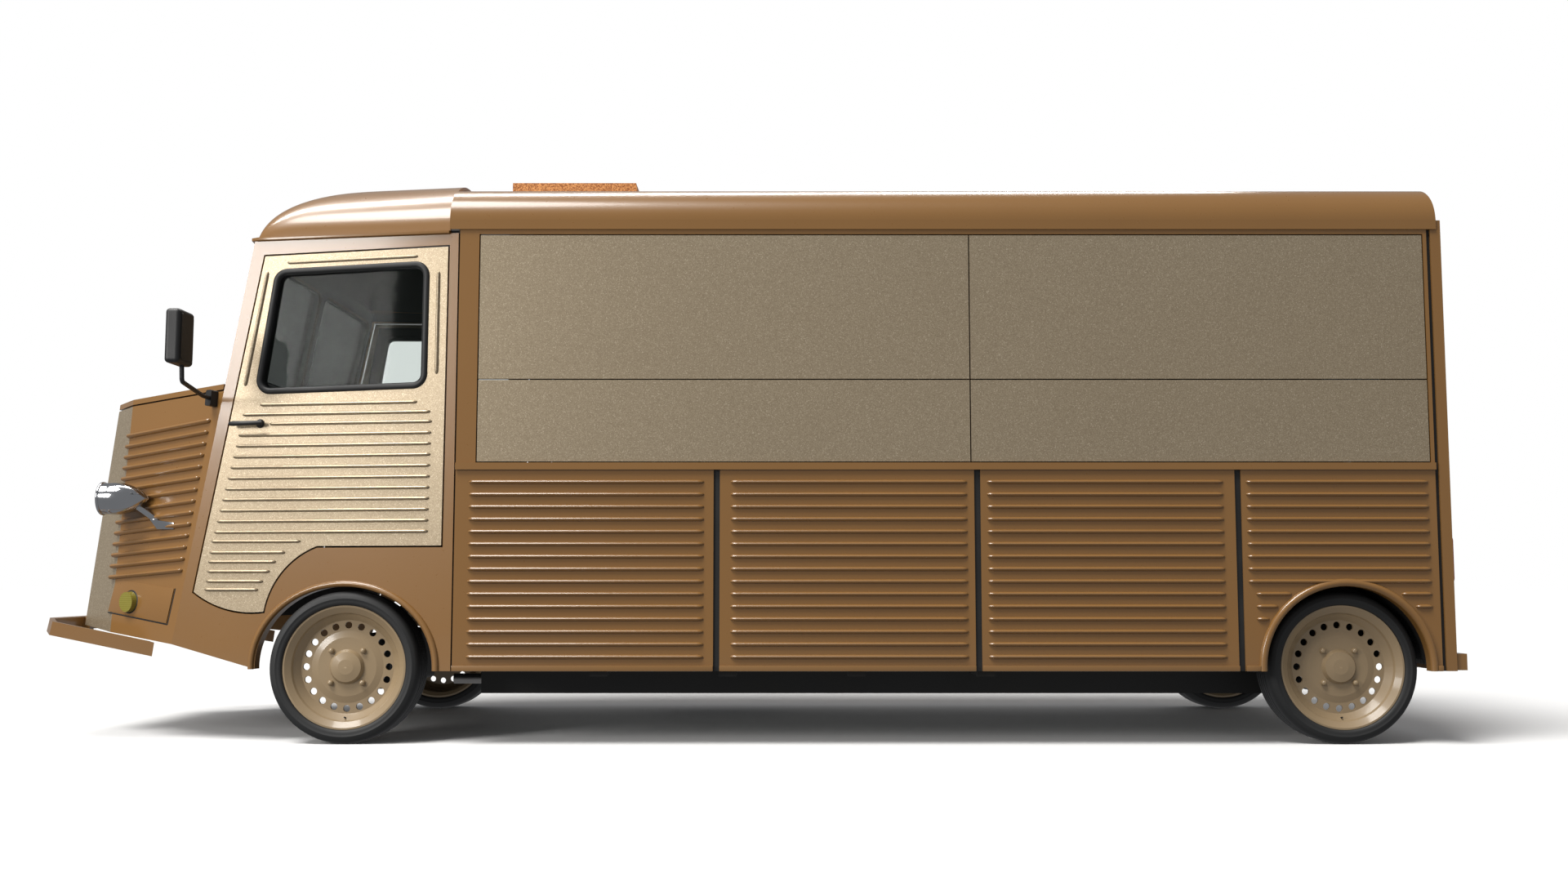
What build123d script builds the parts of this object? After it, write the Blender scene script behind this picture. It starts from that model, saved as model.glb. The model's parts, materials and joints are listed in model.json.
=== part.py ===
from build123d import *
import os
from math import atan, atan2, cos, degrees, hypot, radians, sin, tan

# Food truck: a long forward-cab van with a domed cab roof, serving hatches and corrugated lower sides.
# Millimetres. -X is the front, -Y the driver's left side, +Z up; the ground is z = 0.
os.makedirs("parts", exist_ok=True)

# ---------------------------------------------------------------- overall sizes
wheelbase = 4000.0
front_overhang = 1345.0
rear_overhang = 475.0
body_width = 2000.0
track = 1700.0
wall = 40.0
door_gap = 7.0
hatch_gap = 5.0

# ---------------------------------------------------------------- heights
sill_z = 293.0
floor_z = 335.0
belt_z = 1121.0
belt_height = 28.0
hatch_split_z = 1458.0
hatch_top_z = 2048.0
cab_top_z = 2058.0
roof_base_z = 2072.0
box_crown = 245.0
cab_crown = 286.0
scuttle_z = 1461.0
seat_deck_z = 660.0
foot_floor_z = 520.0

# ---------------------------------------------------------------- wheels
tyre_radius = 304.0
tyre_width = 190.0
rim_radius = 247.0
barrel_radius = 232.0
hub_radius = 55.0
spindle_radius = 30.0
spindle_clearance = 0.5
kingpin_offset = 70.0
rear_arch_radius = 324.0
front_arch_half = 378.0
front_arch_rise = 323.0

# ---------------------------------------------------------------- stations along the body
half_width = body_width / 2
bumper_front_x = -(front_overhang + wheelbase + rear_overhang) / 2
front_axle_x = bumper_front_x + front_overhang
rear_axle_x = front_axle_x + wheelbase
tail_x = rear_axle_x + rear_overhang
cab_rear_x = front_axle_x + 440.0
panel_groove = 6.0
box_front_x = cab_rear_x + panel_groove
box_rear_x = rear_axle_x + 372.0
rear_groove = 16.0
rear_face_x = box_rear_x + rear_groove + 42.0
roof_front_x = box_front_x - 41.0
roof_rear_x = rear_face_x - 20.0
front_post_width = 84.0
rear_post_width = 20.0
front_hatch_length = 1982.0
hatch_front_x = box_front_x + front_post_width
hatch_rear_x = box_rear_x - rear_post_width
hatch_seam_x = hatch_front_x + front_hatch_length
belt_proud = 12.0


def save(piece, name):
    """Label one sub-part and write it as its own file."""
    piece.part.label = name
    export_step(piece.part, f"parts/{name}.step")


def section_plane(x):
    """Upright plane across the body, its own x along +Y."""
    return Plane(origin=(x, 0, 0), x_dir=(0, 1, 0), z_dir=(1, 0, 0))


# ================================================================ cab side: one tapered plane
cab_taper = 9.36
taper = radians(cab_taper)
pillar_top_x = front_axle_x - 437.0
crease_foot_x = front_axle_x - 746.0
crease_foot_z = 391.0
door_front_top_x = front_axle_x - 390.0
door_front_top_z = 1990.0
door_rear_top_x = cab_rear_x - 43.0
door_rear_top_z = 2003.0
door_rear_foot_x = cab_rear_x - 48.0
door_step_z = 790.0
door_toe_x = front_axle_x - 352.0
door_toe_z = 525.0
door_low_x = front_axle_x - 656.0
door_low_z = 604.0
door_step_x = front_axle_x - 130.0
door_arch_mid = (front_axle_x - 277.0, 687.0)
door_foot_mid = (front_axle_x - 532.0, 541.0)
crease_slope = (pillar_top_x - crease_foot_x) / (cab_top_z - crease_foot_z)
left_cab_plane = Plane(
    origin=(cab_rear_x, -half_width, 0),
    x_dir=(cos(taper), -sin(taper), 0),
    z_dir=(-sin(taper), -cos(taper), 0),
)


def on_cab(x, z):
    """A point of the cab side's plane, given by its station and height."""
    return ((x - cab_rear_x) / cos(taper), z)


def cab_half_width(x):
    """Half the cab's width at a station, to the outside of its side."""
    return half_width - (cab_rear_x - x) * tan(taper)


def crease_x(z):
    """Station of the front edge of the cab side, which leans back with height."""
    return crease_foot_x + (z - crease_foot_z) * crease_slope


def door_outline():
    """Outline of the cab door: stepped over the wheel, its toe in front of it."""
    step_corner = on_cab(door_step_x, door_step_z)
    toe = on_cab(door_toe_x, door_toe_z)
    low = on_cab(door_low_x, door_low_z)
    with BuildLine() as outline:
        Polyline(
            low,
            on_cab(door_front_top_x, door_front_top_z),
            on_cab(door_rear_top_x, door_rear_top_z),
            on_cab(door_rear_foot_x, door_step_z),
            step_corner,
        )
        ThreePointArc(step_corner, on_cab(*door_arch_mid), toe)
        ThreePointArc(toe, on_cab(*door_foot_mid), low)
    return outline.line


window_front_top = (front_axle_x - 327.0, 1916.0)
window_rear_top = (front_axle_x + 302.0, 1929.0)
window_rear_foot = (front_axle_x + 300.0, 1443.0)
window_front_foot = (front_axle_x - 400.0, 1431.0)
window_corner = 42.0
glass_thickness = 6.0
cab_wall = 40.0


def window_outline():
    """Outline of the opening in the cab door's window frame."""
    corners = [window_front_top, window_rear_top, window_rear_foot, window_front_foot]
    with BuildLine() as outline:
        Polyline(*[on_cab(*corner) for corner in corners], close=True)
    return outline.line


with BuildPart() as cab_sides:
    with BuildSketch(left_cab_plane):
        with BuildLine():
            Polyline(
                on_cab(cab_rear_x, sill_z),
                on_cab(cab_rear_x, cab_top_z),
                on_cab(pillar_top_x, cab_top_z),
                on_cab(crease_foot_x, crease_foot_z),
                on_cab(front_axle_x - front_arch_half, sill_z),
                close=True,
            )
        make_face()
        with Locations(on_cab(front_axle_x - 9.0, tyre_radius)):
            Ellipse(front_arch_half, front_arch_rise, mode=Mode.SUBTRACT)
        with BuildSketch(mode=Mode.PRIVATE) as doorway:
            with BuildLine():
                add(door_outline())
            make_face()
            offset(amount=door_gap, kind=Kind.INTERSECTION)
        add(doorway.sketch, mode=Mode.SUBTRACT)
    extrude(amount=-cab_wall)
    split(bisect_by=section_plane(cab_rear_x), keep=Keep.BOTTOM)
    mirror(about=Plane.XZ)
save(cab_sides, "cab_sides")

with BuildPart() as cab_door_left:
    with BuildSketch(left_cab_plane):
        with BuildLine():
            add(door_outline())
        make_face()
        with BuildSketch(mode=Mode.PRIVATE) as window:
            with BuildLine():
                add(window_outline())
            make_face()
            fillet(window.vertices(), window_corner)
        add(window.sketch, mode=Mode.SUBTRACT)
    extrude(amount=-cab_wall)
with BuildPart() as cab_door_right:
    mirror(cab_door_left.part, about=Plane.XZ)
save(cab_door_left, "cab_door_left")
save(cab_door_right, "cab_door_right")

with BuildPart() as door_glass_left:
    with BuildSketch(left_cab_plane.offset(-(cab_wall - glass_thickness) / 2)):
        add(window.sketch)
    extrude(amount=-glass_thickness)
with BuildPart() as door_glass_right:
    mirror(door_glass_left.part, about=Plane.XZ)
save(door_glass_left, "door_glass_left")
save(door_glass_right, "door_glass_right")

# ================================================================ windscreen
screen_rake = atan(crease_slope)
screen_foot_z = scuttle_z
screen_foot_x = crease_x(screen_foot_z)
screen_plane = Plane(
    origin=(screen_foot_x, 0, screen_foot_z),
    x_dir=(0, -1, 0),
    z_dir=(-cos(screen_rake), 0, sin(screen_rake)),
)
screen_height = (cab_top_z - screen_foot_z) / cos(screen_rake)
screen_bar = 60.0
screen_pillar = 62.0
screen_sill = 55.0
screen_header = 62.0
screen_corner = 55.0
pane_outer_foot = cab_half_width(screen_foot_x) - screen_pillar
pane_outer_top = cab_half_width(crease_x(cab_top_z)) - screen_pillar

with BuildSketch(mode=Mode.PRIVATE) as panes:
    with BuildLine():
        Polyline(
            (screen_bar / 2, screen_sill),
            (pane_outer_foot, screen_sill),
            (pane_outer_top, screen_height - screen_header),
            (screen_bar / 2, screen_height - screen_header),
            close=True,
        )
    make_face()
    fillet(panes.vertices(), screen_corner)
    mirror(about=Plane.YZ)

with BuildPart() as windscreen_frame:
    with BuildSketch(screen_plane):
        with BuildLine():
            Polyline(
                (-cab_half_width(screen_foot_x), 0),
                (cab_half_width(screen_foot_x), 0),
                (cab_half_width(pillar_top_x), screen_height),
                (-cab_half_width(pillar_top_x), screen_height),
                close=True,
            )
        make_face()
        add(panes.sketch, mode=Mode.SUBTRACT)
    extrude(amount=-cab_wall)
    add(cab_sides.part, mode=Mode.SUBTRACT)
save(windscreen_frame, "windscreen_frame")

with BuildPart() as windscreen_glass:
    with BuildSketch(screen_plane.offset(-(cab_wall - glass_thickness) / 2)):
        add(panes.sketch)
    extrude(amount=-glass_thickness)
save(windscreen_glass, "windscreen_glass")

# ================================================================ roofs
roof_wall = 30.0
roof_lip = 8.0
crown_share = 0.26
skirt_share = 0.15
cut_past = 20.0
roof_end_round = 36.0
roof_front_round = 20.0


def arched_section(half, rise, base, inset=0.0, skirt=0.0):
    """Closed section of a roof: upright skirt, round shoulder and a shallow crown, all tangent."""
    flare = 2 * atan(crown_share * rise / half)
    shoulder_rise = rise * (1 - crown_share - skirt_share)
    shoulder = shoulder_rise / (cos(flare) - (1 - sin(flare)) * tan(flare / 2))
    centre_y = half - shoulder
    centre_z = base + skirt_share * rise
    shoulder -= inset
    middle = (radians(90) - flare) / 2
    low = (centre_y + shoulder, centre_z)
    mid = (centre_y + shoulder * cos(middle), centre_z + shoulder * sin(middle))
    high = (centre_y + shoulder * sin(flare), centre_z + shoulder * cos(flare))
    top = (0, high[1] + high[0] * tan(flare / 2))
    with BuildLine() as outline:
        Line((low[0], base - skirt), low)
        ThreePointArc(low, mid, high)
        ThreePointArc(high, top, (-high[0], high[1]))
        ThreePointArc((-high[0], high[1]), (-mid[0], mid[1]), (-low[0], low[1]))
        Line((-low[0], low[1]), (-low[0], base - skirt))
        Line((-low[0], base - skirt), (low[0], base - skirt))
    return outline.line


def roof_arch(x, inset=0.0, skirt=0.0):
    """Face of the box roof's section at a station, inset from the outer skin."""
    with BuildSketch(section_plane(x)) as arch:
        with BuildLine():
            add(arched_section(half_width + roof_lip, box_crown, roof_base_z, inset, skirt))
        make_face()
    return arch.sketch


end_round_foot = 40.0


def end_curve(x, way, depth):
    """Points of a quarter ellipse that rounds one end of the roof, from its shoulder to its crown."""
    height = box_crown - end_round_foot
    turns = [radians(turn) for turn in (0, 22.5, 45, 67.5, 90)]
    foot = roof_base_z + end_round_foot
    return [(x - way * depth * (1 - cos(turn)), foot + height * sin(turn)) for turn in turns]


with BuildPart() as roof_loaf:
    extrude(roof_arch(roof_front_x), amount=roof_rear_x - roof_front_x, dir=(1, 0, 0))
    with BuildSketch(Plane.XZ.offset(-body_width)):
        rear_curve = end_curve(roof_rear_x, 1, roof_end_round)
        front_curve = end_curve(roof_front_x, -1, roof_front_round)
        with BuildLine():
            Spline(*rear_curve)
            Line(rear_curve[-1], front_curve[-1])
            Spline(*front_curve)
            Polyline(front_curve[0], (roof_front_x, roof_base_z), (roof_rear_x, roof_base_z), rear_curve[0])
        make_face()
    extrude(amount=2 * body_width, mode=Mode.INTERSECT)
with BuildPart() as box_roof:
    add(roof_loaf.part)
    hollow_length = roof_rear_x - roof_front_x + cut_past - roof_end_round
    hollow_arch = roof_arch(roof_front_x - cut_past, roof_wall, cut_past)
    extrude(hollow_arch, amount=hollow_length, dir=(1, 0, 0), mode=Mode.SUBTRACT)
save(box_roof, "box_roof")

cab_roof_rear_x = roof_front_x - 2.0
dome_length = 720.0
dome_power = 2.05
dome_turns = [6.0, 14.0, 24.0, 35.0, 47.0, 60.0, 75.0, 90.0]
cab_roof_step = 6.0


def dome_curve(inset):
    """Points of the cab roof's side view: a rounded brow, then level to the rear."""
    points = []
    for turn in dome_turns:
        back = 1 - max(cos(radians(turn)), 0.0) ** (2 / dome_power)
        rise = sin(radians(turn)) ** (2 / dome_power)
        points.append((pillar_top_x + inset + back * dome_length, cab_top_z + rise * (cab_crown - inset)))
    return points


def cab_dome(inset, past):
    """Solid of the cab roof: an arch that tapers with the cab, trimmed to its side view."""
    front_x = pillar_top_x - 20.0
    with BuildPart() as dome:
        with BuildSketch(section_plane(cab_roof_rear_x + past)):
            with BuildLine():
                rear_half = cab_half_width(cab_roof_rear_x + past) - cab_roof_step
                add(arched_section(rear_half, cab_crown, cab_top_z, inset, past))
            make_face()
        with BuildSketch(section_plane(front_x)):
            with BuildLine():
                front_half = cab_half_width(front_x) - cab_roof_step
                add(arched_section(front_half, cab_crown, cab_top_z, inset, past))
            make_face()
        loft(ruled=True)
        curve = dome_curve(inset)
        with BuildSketch(Plane.XZ.offset(-body_width)):
            with BuildLine():
                Spline(*curve)
                Polyline(
                    curve[-1],
                    (roof_front_x + past, curve[-1][1]),
                    (roof_front_x + past, cab_top_z - past),
                    (curve[0][0], cab_top_z - past),
                    curve[0],
                )
            make_face()
        extrude(amount=2 * body_width, mode=Mode.INTERSECT)
    return dome.part


with BuildPart() as cab_roof:
    add(cab_dome(0.0, 0.0))
    add(cab_dome(roof_wall, cut_past), mode=Mode.SUBTRACT)
save(cab_roof, "cab_roof")

vent_front_x = box_front_x + 84.0
vent_length = 560.0
vent_half_width = 300.0
vent_top_z = 2450.0
vent_back_slope = 22.0
with BuildPart() as roof_vent:
    with BuildSketch(Plane.XZ.offset(vent_half_width)):
        with BuildLine():
            Polyline(
                (vent_front_x, roof_base_z + box_crown - roof_wall),
                (vent_front_x, vent_top_z),
                (vent_front_x + vent_length, vent_top_z),
                (vent_front_x + vent_length + vent_back_slope, roof_base_z + box_crown - roof_wall),
                close=True,
            )
        make_face()
    extrude(amount=-2 * vent_half_width)
    add(roof_loaf.part, mode=Mode.SUBTRACT)
save(roof_vent, "roof_vent")

# ================================================================ box sides
cant_top_z = roof_base_z
panel_top_z = belt_z - belt_height
strip_width = 25.0
strip_pitch = 1043.0
first_strip = 1047.0
strip_recess = 7.0
strip_count = 3
strip_xs = [box_front_x + first_strip + strip_pitch * n for n in range(strip_count)]
bay_starts = [box_front_x] + [x + strip_width / 2 for x in strip_xs]
bay_ends = [x - strip_width / 2 for x in strip_xs] + [box_rear_x]


def side_rectangle(x_low, x_high, z_low, z_high):
    """Upright rectangle on a side plane, given by its stations and heights."""
    with Locations(((x_low + x_high) / 2, (z_low + z_high) / 2)):
        Rectangle(x_high - x_low, z_high - z_low)


with BuildPart() as lower_panels:
    with BuildSketch(Plane.XZ.offset(half_width)):
        for start, end in zip(bay_starts, bay_ends):
            side_rectangle(start, end, sill_z, panel_top_z)
        with Locations((rear_axle_x, tyre_radius)):
            Circle(rear_arch_radius, mode=Mode.SUBTRACT)
    extrude(amount=-wall)
    mirror(about=Plane.XZ)
save(lower_panels, "lower_panels")

with BuildPart() as panel_strips:
    with BuildSketch(Plane.XZ.offset(half_width - strip_recess)):
        for x in strip_xs:
            side_rectangle(x - strip_width / 2, x + strip_width / 2, sill_z, panel_top_z)
    extrude(amount=-(wall - strip_recess))
    mirror(about=Plane.XZ)
save(panel_strips, "panel_strips")

with BuildPart() as belt_rails:
    with BuildSketch(Plane.XZ.offset(half_width + belt_proud)):
        side_rectangle(box_front_x, box_rear_x, panel_top_z, belt_z)
    extrude(amount=-(wall + belt_proud))
    mirror(about=Plane.XZ)
save(belt_rails, "belt_rails")

seam_post_width = 50.0
hatch_thickness = 26.0
post_bottom_z = belt_z
post_top_z = hatch_top_z + hatch_gap
with BuildPart() as body_posts:
    with BuildSketch(Plane.XZ.offset(half_width)):
        side_rectangle(box_front_x, hatch_front_x - hatch_gap, post_bottom_z, post_top_z)
        side_rectangle(hatch_rear_x + hatch_gap, box_rear_x, post_bottom_z, post_top_z)
    extrude(amount=-wall)
    post_depth = hatch_thickness + hatch_gap
    with BuildSketch(Plane.XZ.offset(half_width - post_depth)):
        seam_half = seam_post_width / 2
        side_rectangle(hatch_seam_x - seam_half, hatch_seam_x + seam_half, post_bottom_z, post_top_z)
    extrude(amount=-wall)
    mirror(about=Plane.XZ)
save(body_posts, "body_posts")

cant_depth = 75.0
with BuildPart() as cant_rails:
    with BuildSketch(Plane.XZ.offset(half_width)):
        side_rectangle(box_front_x, box_rear_x, post_top_z, cant_top_z)
    extrude(amount=-cant_depth)
    mirror(about=Plane.XZ)
save(cant_rails, "cant_rails")

hatch_bottom_z = belt_z + hatch_gap
columns = {
    "front": (hatch_front_x, hatch_seam_x - hatch_gap / 2),
    "rear": (hatch_seam_x + hatch_gap / 2, hatch_rear_x),
}
rows = {
    "lower": (hatch_bottom_z, hatch_split_z - hatch_gap / 2),
    "upper": (hatch_split_z + hatch_gap / 2, hatch_top_z),
}
for row, (z_low, z_high) in rows.items():
    for column, (x_low, x_high) in columns.items():
        with BuildPart() as hatch:
            with BuildSketch(Plane.XZ.offset(half_width)):
                side_rectangle(x_low, x_high, z_low, z_high)
            extrude(amount=-hatch_thickness)
        save(hatch, f"{row}_hatch_{column}")

with BuildPart() as fixed_side_panels:
    with BuildSketch(Plane.XZ.offset(-half_width)):
        for z_low, z_high in rows.values():
            for x_low, x_high in columns.values():
                side_rectangle(x_low, x_high, z_low, z_high)
    extrude(amount=hatch_thickness)
save(fixed_side_panels, "fixed_side_panels")

# ================================================================ rear end
rear_front_x = box_rear_x + rear_groove
rear_post = 110.0
rear_top_z = 2110.0
tailgate_top_z = 1980.0
tailgate_foot_z = 1205.0
rear_door_foot_z = 375.0
rear_plane = section_plane(rear_face_x)


def rear_rectangle(half, z_low, z_high):
    """Rectangle centred across the rear face."""
    with Locations((0, (z_low + z_high) / 2)):
        Rectangle(2 * half, z_high - z_low)


rear_opening_half = half_width - rear_post
with BuildPart() as rear_frame:
    with BuildSketch(rear_plane):
        rear_rectangle(half_width, sill_z, rear_top_z)
        with BuildSketch(mode=Mode.PRIVATE) as rear_opening:
            rear_rectangle(rear_opening_half, rear_door_foot_z - door_gap, tailgate_top_z + door_gap)
        add(rear_opening.sketch, mode=Mode.SUBTRACT)
    extrude(amount=-(rear_face_x - rear_front_x))
    add(roof_loaf.part, mode=Mode.SUBTRACT)
save(rear_frame, "rear_frame")

rear_leaf_half = rear_opening_half - door_gap
tail_window_half = 430.0
tail_window_low_z = 1480.0
tail_window_high_z = 1800.0
tail_thickness = 36.0
with BuildSketch(mode=Mode.PRIVATE) as tail_window:
    rear_rectangle(tail_window_half, tail_window_low_z, tail_window_high_z)
    fillet(tail_window.vertices(), 50.0)
with BuildPart() as tailgate:
    with BuildSketch(rear_plane):
        rear_rectangle(rear_leaf_half, tailgate_foot_z, tailgate_top_z)
        add(tail_window.sketch, mode=Mode.SUBTRACT)
    extrude(amount=-tail_thickness)
save(tailgate, "tailgate")

with BuildPart() as tailgate_glass:
    with BuildSketch(rear_plane.offset(-(tail_thickness - glass_thickness) / 2)):
        add(tail_window.sketch)
    extrude(amount=-glass_thickness)
save(tailgate_glass, "tailgate_glass")

with BuildPart() as rear_door_right:
    with BuildSketch(rear_plane):
        door_height = tailgate_foot_z - door_gap - rear_door_foot_z
        with Locations(((rear_leaf_half + door_gap / 2) / 2, rear_door_foot_z + door_height / 2)):
            Rectangle(rear_leaf_half - door_gap / 2, door_height)
    extrude(amount=-tail_thickness)
with BuildPart() as rear_door_left:
    mirror(rear_door_right.part, about=Plane.XZ)
save(rear_door_left, "rear_door_left")
save(rear_door_right, "rear_door_right")

# ================================================================ nose
splay = 30.4
nose_wall = 26.0
nose_low_z = 250.0
nose_high_z = 1560.0
edge_top = (front_axle_x - 1052.0, 1413.0)
edge_foot = (front_axle_x - 1087.0, 447.0)
face_top = (front_axle_x - 1171.0, 1419.0)
face_foot = (front_axle_x - 1286.0, 459.0)
face_half = 400.0


def along_line(top, foot, z):
    """Station on a straight line through two (station, height) points."""
    return foot[0] + (z - foot[1]) * (top[0] - foot[0]) / (top[1] - foot[1])


def nose_corners(z, inset):
    """Left-hand corners of the nose's plan at a height: crease, front edge, front face."""
    rear = crease_x(z)
    edge = along_line(edge_top, edge_foot, z)
    rear_y = -cab_half_width(rear)
    edge_y = rear_y + (rear - edge) * tan(radians(splay))
    face = along_line(face_top, face_foot, z)
    side_shift = inset / cos(radians(splay))
    bevel = atan2(-face_half - edge_y, edge - face)
    face_x = face + inset
    bevel_shift = inset / cos(bevel)
    face_y = -face_half + bevel_shift - inset * tan(bevel)
    bevel_y = edge_y + bevel_shift
    edge_x = edge
    if inset:
        run = (bevel_y - edge_y - side_shift) / (tan(radians(splay)) - tan(bevel))
        edge_x = edge - run
        edge_y = edge_y + side_shift + run * tan(radians(splay))
    return [(rear, rear_y + side_shift), (edge_x, edge_y), (face_x, face_y)]


def nose_block(inset):
    """Solid of the nose between two level planes, its sides leaning as the corners do."""
    with BuildPart() as block:
        for z in (nose_low_z, nose_high_z):
            left = nose_corners(z, inset)
            right = [(x, -y) for x, y in reversed(left)]
            with BuildSketch(Plane.XY.offset(z)):
                with BuildLine():
                    Polyline(*left, *right, close=True)
                make_face()
        loft(ruled=True)
    return block.part


# The bonnet's crowned top: an arched section run forward and down along the nose
bonnet_fall = 5.4
bonnet_crown = 26.0
bonnet_wall = 22.0
bonnet_gap = 7.0
bonnet_rear_x = crease_x(scuttle_z)
bonnet_half = cab_half_width(bonnet_rear_x)
bonnet_radius = (bonnet_half ** 2 + bonnet_crown ** 2) / (2 * bonnet_crown)
bonnet_edge_z = scuttle_z
bonnet_run_x = bonnet_rear_x + 120.0
fall_slope = tan(radians(bonnet_fall))
bonnet_plane = Plane(
    origin=(bonnet_run_x, 0, bonnet_edge_z + (bonnet_run_x - bonnet_rear_x) * fall_slope),
    x_dir=(0, -1, 0),
    z_dir=(-cos(radians(bonnet_fall)), 0, -sin(radians(bonnet_fall))),
)


def under_bonnet(drop, below):
    """Solid under the bonnet's arched top, lowered by drop, reaching well down."""
    side = bonnet_half + 150.0
    edge = -(side ** 2 - bonnet_half ** 2) / (2 * bonnet_radius)
    with BuildPart() as block:
        with BuildSketch(bonnet_plane):
            with BuildLine():
                ThreePointArc((-side, edge - drop), (0, bonnet_crown - drop), (side, edge - drop))
                Polyline((side, edge - drop), (side, -below), (-side, -below), (-side, edge - drop))
            make_face()
        extrude(amount=1100.0)
    return block.part


bottom_front_z = 459.0
bottom_slope = (bottom_front_z - crease_foot_z) / (face_foot[0] - crease_foot_x)
with BuildPart() as nose_shell:
    add(nose_block(0.0))
    add(nose_block(nose_wall), mode=Mode.SUBTRACT)
    add(under_bonnet(bonnet_wall + bonnet_gap, 1600.0), mode=Mode.INTERSECT)
    bottom_plane = Plane(
        origin=(crease_foot_x, 0, crease_foot_z),
        x_dir=(0, 1, 0),
        z_dir=(bottom_slope, 0, -1),
    )
    split(bisect_by=bottom_plane, keep=Keep.BOTTOM)
edge_lean = (edge_top[0] - edge_foot[0]) / (edge_top[1] - edge_foot[1])
edge_plane = Plane(origin=(edge_foot[0], 0, edge_foot[1]), x_dir=(0, 1, 0), z_dir=(-1, 0, edge_lean))
with BuildPart() as nose_sides:
    add(nose_shell.part)
    split(bisect_by=edge_plane, keep=Keep.BOTTOM)
save(nose_sides, "nose_sides")

face_plane_lean = (face_top[0] - face_foot[0]) / (face_top[1] - face_foot[1])
face_plane = Plane(
    origin=(face_foot[0], 0, face_foot[1]),
    x_dir=(0, -1, 0),
    z_dir=(-1, 0, face_plane_lean),
)
grille_half = 320.0
grille_low = 190.0
grille_high = 800.0
grille_rim = 18.0
slat_count = 9
slat_height = 26.0
with BuildPart() as nose_front:
    add(nose_shell.part)
    split(bisect_by=edge_plane, keep=Keep.TOP)
    with BuildSketch(face_plane.offset(20.0)):
        with Locations((0, (grille_low + grille_high) / 2)):
            RectangleRounded(2 * grille_half, grille_high - grille_low, 60.0)
    extrude(amount=-80.0, mode=Mode.SUBTRACT)
save(nose_front, "nose_front")

with BuildPart() as grille:
    with BuildSketch(face_plane):
        with Locations((0, (grille_low + grille_high) / 2)):
            RectangleRounded(2 * grille_half, grille_high - grille_low, 60.0)
            inner_half = grille_half - grille_rim
            inner_height = grille_high - grille_low - 2 * grille_rim
            RectangleRounded(2 * inner_half, inner_height, 60.0 - grille_rim, mode=Mode.SUBTRACT)
        slat_pitch = inner_height / (slat_count + 1)
        for n in range(slat_count):
            with Locations((0, grille_low + grille_rim + slat_pitch * (n + 1))):
                Rectangle(2 * inner_half + 4.0, slat_height)
    extrude(amount=-nose_wall)
save(grille, "grille")

with BuildPart() as bonnet:
    add(nose_block(0.0))
    add(under_bonnet(0.0, 1600.0), mode=Mode.INTERSECT)
    add(under_bonnet(bonnet_wall, 1700.0), mode=Mode.SUBTRACT)
    rear_cut = Plane(
        origin=(bonnet_rear_x - bonnet_gap, 0, scuttle_z),
        x_dir=(0, 1, 0),
        z_dir=(1, 0, -crease_slope),
    )
    split(bisect_by=rear_cut, keep=Keep.BOTTOM)
save(bonnet, "bonnet")

# ================================================================ floors
sheet = 20.0
deck_front_x = front_axle_x - 410.0
deck_rear_x = cab_rear_x - sheet
firewall_lean = 28.0
firewall_top_z = 1430.0


def firewall_x(z):
    """Station of the firewall's front face, behind the nose's crease."""
    return crease_x(z) + firewall_lean


inner_edge = cab_wall / cos(taper) + 1.0
with BuildPart() as cab_width_block:
    with BuildSketch(Plane.XY):
        with BuildLine():
            Polyline(
                (crease_foot_x, -(cab_half_width(crease_foot_x) - inner_edge)),
                (cab_rear_x, -(half_width - inner_edge)),
                (cab_rear_x, half_width - inner_edge),
                (crease_foot_x, cab_half_width(crease_foot_x) - inner_edge),
                close=True,
            )
        make_face()
    extrude(amount=cab_top_z)

with BuildPart() as cab_floor:
    with BuildSketch(Plane.XZ.offset(half_width)):
        with BuildLine():
            Polyline(
                (firewall_x(firewall_top_z), firewall_top_z),
                (firewall_x(foot_floor_z - sheet), foot_floor_z - sheet),
                (deck_front_x, foot_floor_z - sheet),
                (deck_front_x, seat_deck_z - sheet),
                (deck_rear_x, seat_deck_z - sheet),
                (deck_rear_x, floor_z - sheet),
                (deck_rear_x + sheet, floor_z - sheet),
                (deck_rear_x + sheet, seat_deck_z),
                (deck_front_x - sheet, seat_deck_z),
                (deck_front_x - sheet, foot_floor_z),
                (firewall_x(foot_floor_z) + sheet, foot_floor_z),
                (firewall_x(firewall_top_z) + sheet, firewall_top_z),
                close=True,
            )
        make_face()
    extrude(amount=-body_width)
    add(cab_width_block.part, mode=Mode.INTERSECT)
save(cab_floor, "cab_floor")

wheel_box_half = 344.0
wheel_box_inner = track / 2 - tyre_width / 2 - 43.0
floor_clearance = 2.0
floor_half = half_width - wall - floor_clearance
with BuildPart() as box_floor:
    with BuildSketch(Plane.XY.offset(floor_z)):
        with Locations(((cab_rear_x + box_rear_x) / 2, 0)):
            Rectangle(box_rear_x - cab_rear_x, 2 * floor_half)
        well_width = half_width - wheel_box_inner
        for side in (-1, 1):
            with Locations((rear_axle_x, side * (wheel_box_inner + well_width / 2))):
                Rectangle(2 * wheel_box_half, well_width, mode=Mode.SUBTRACT)
    extrude(amount=-sheet)
save(box_floor, "box_floor")

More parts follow.
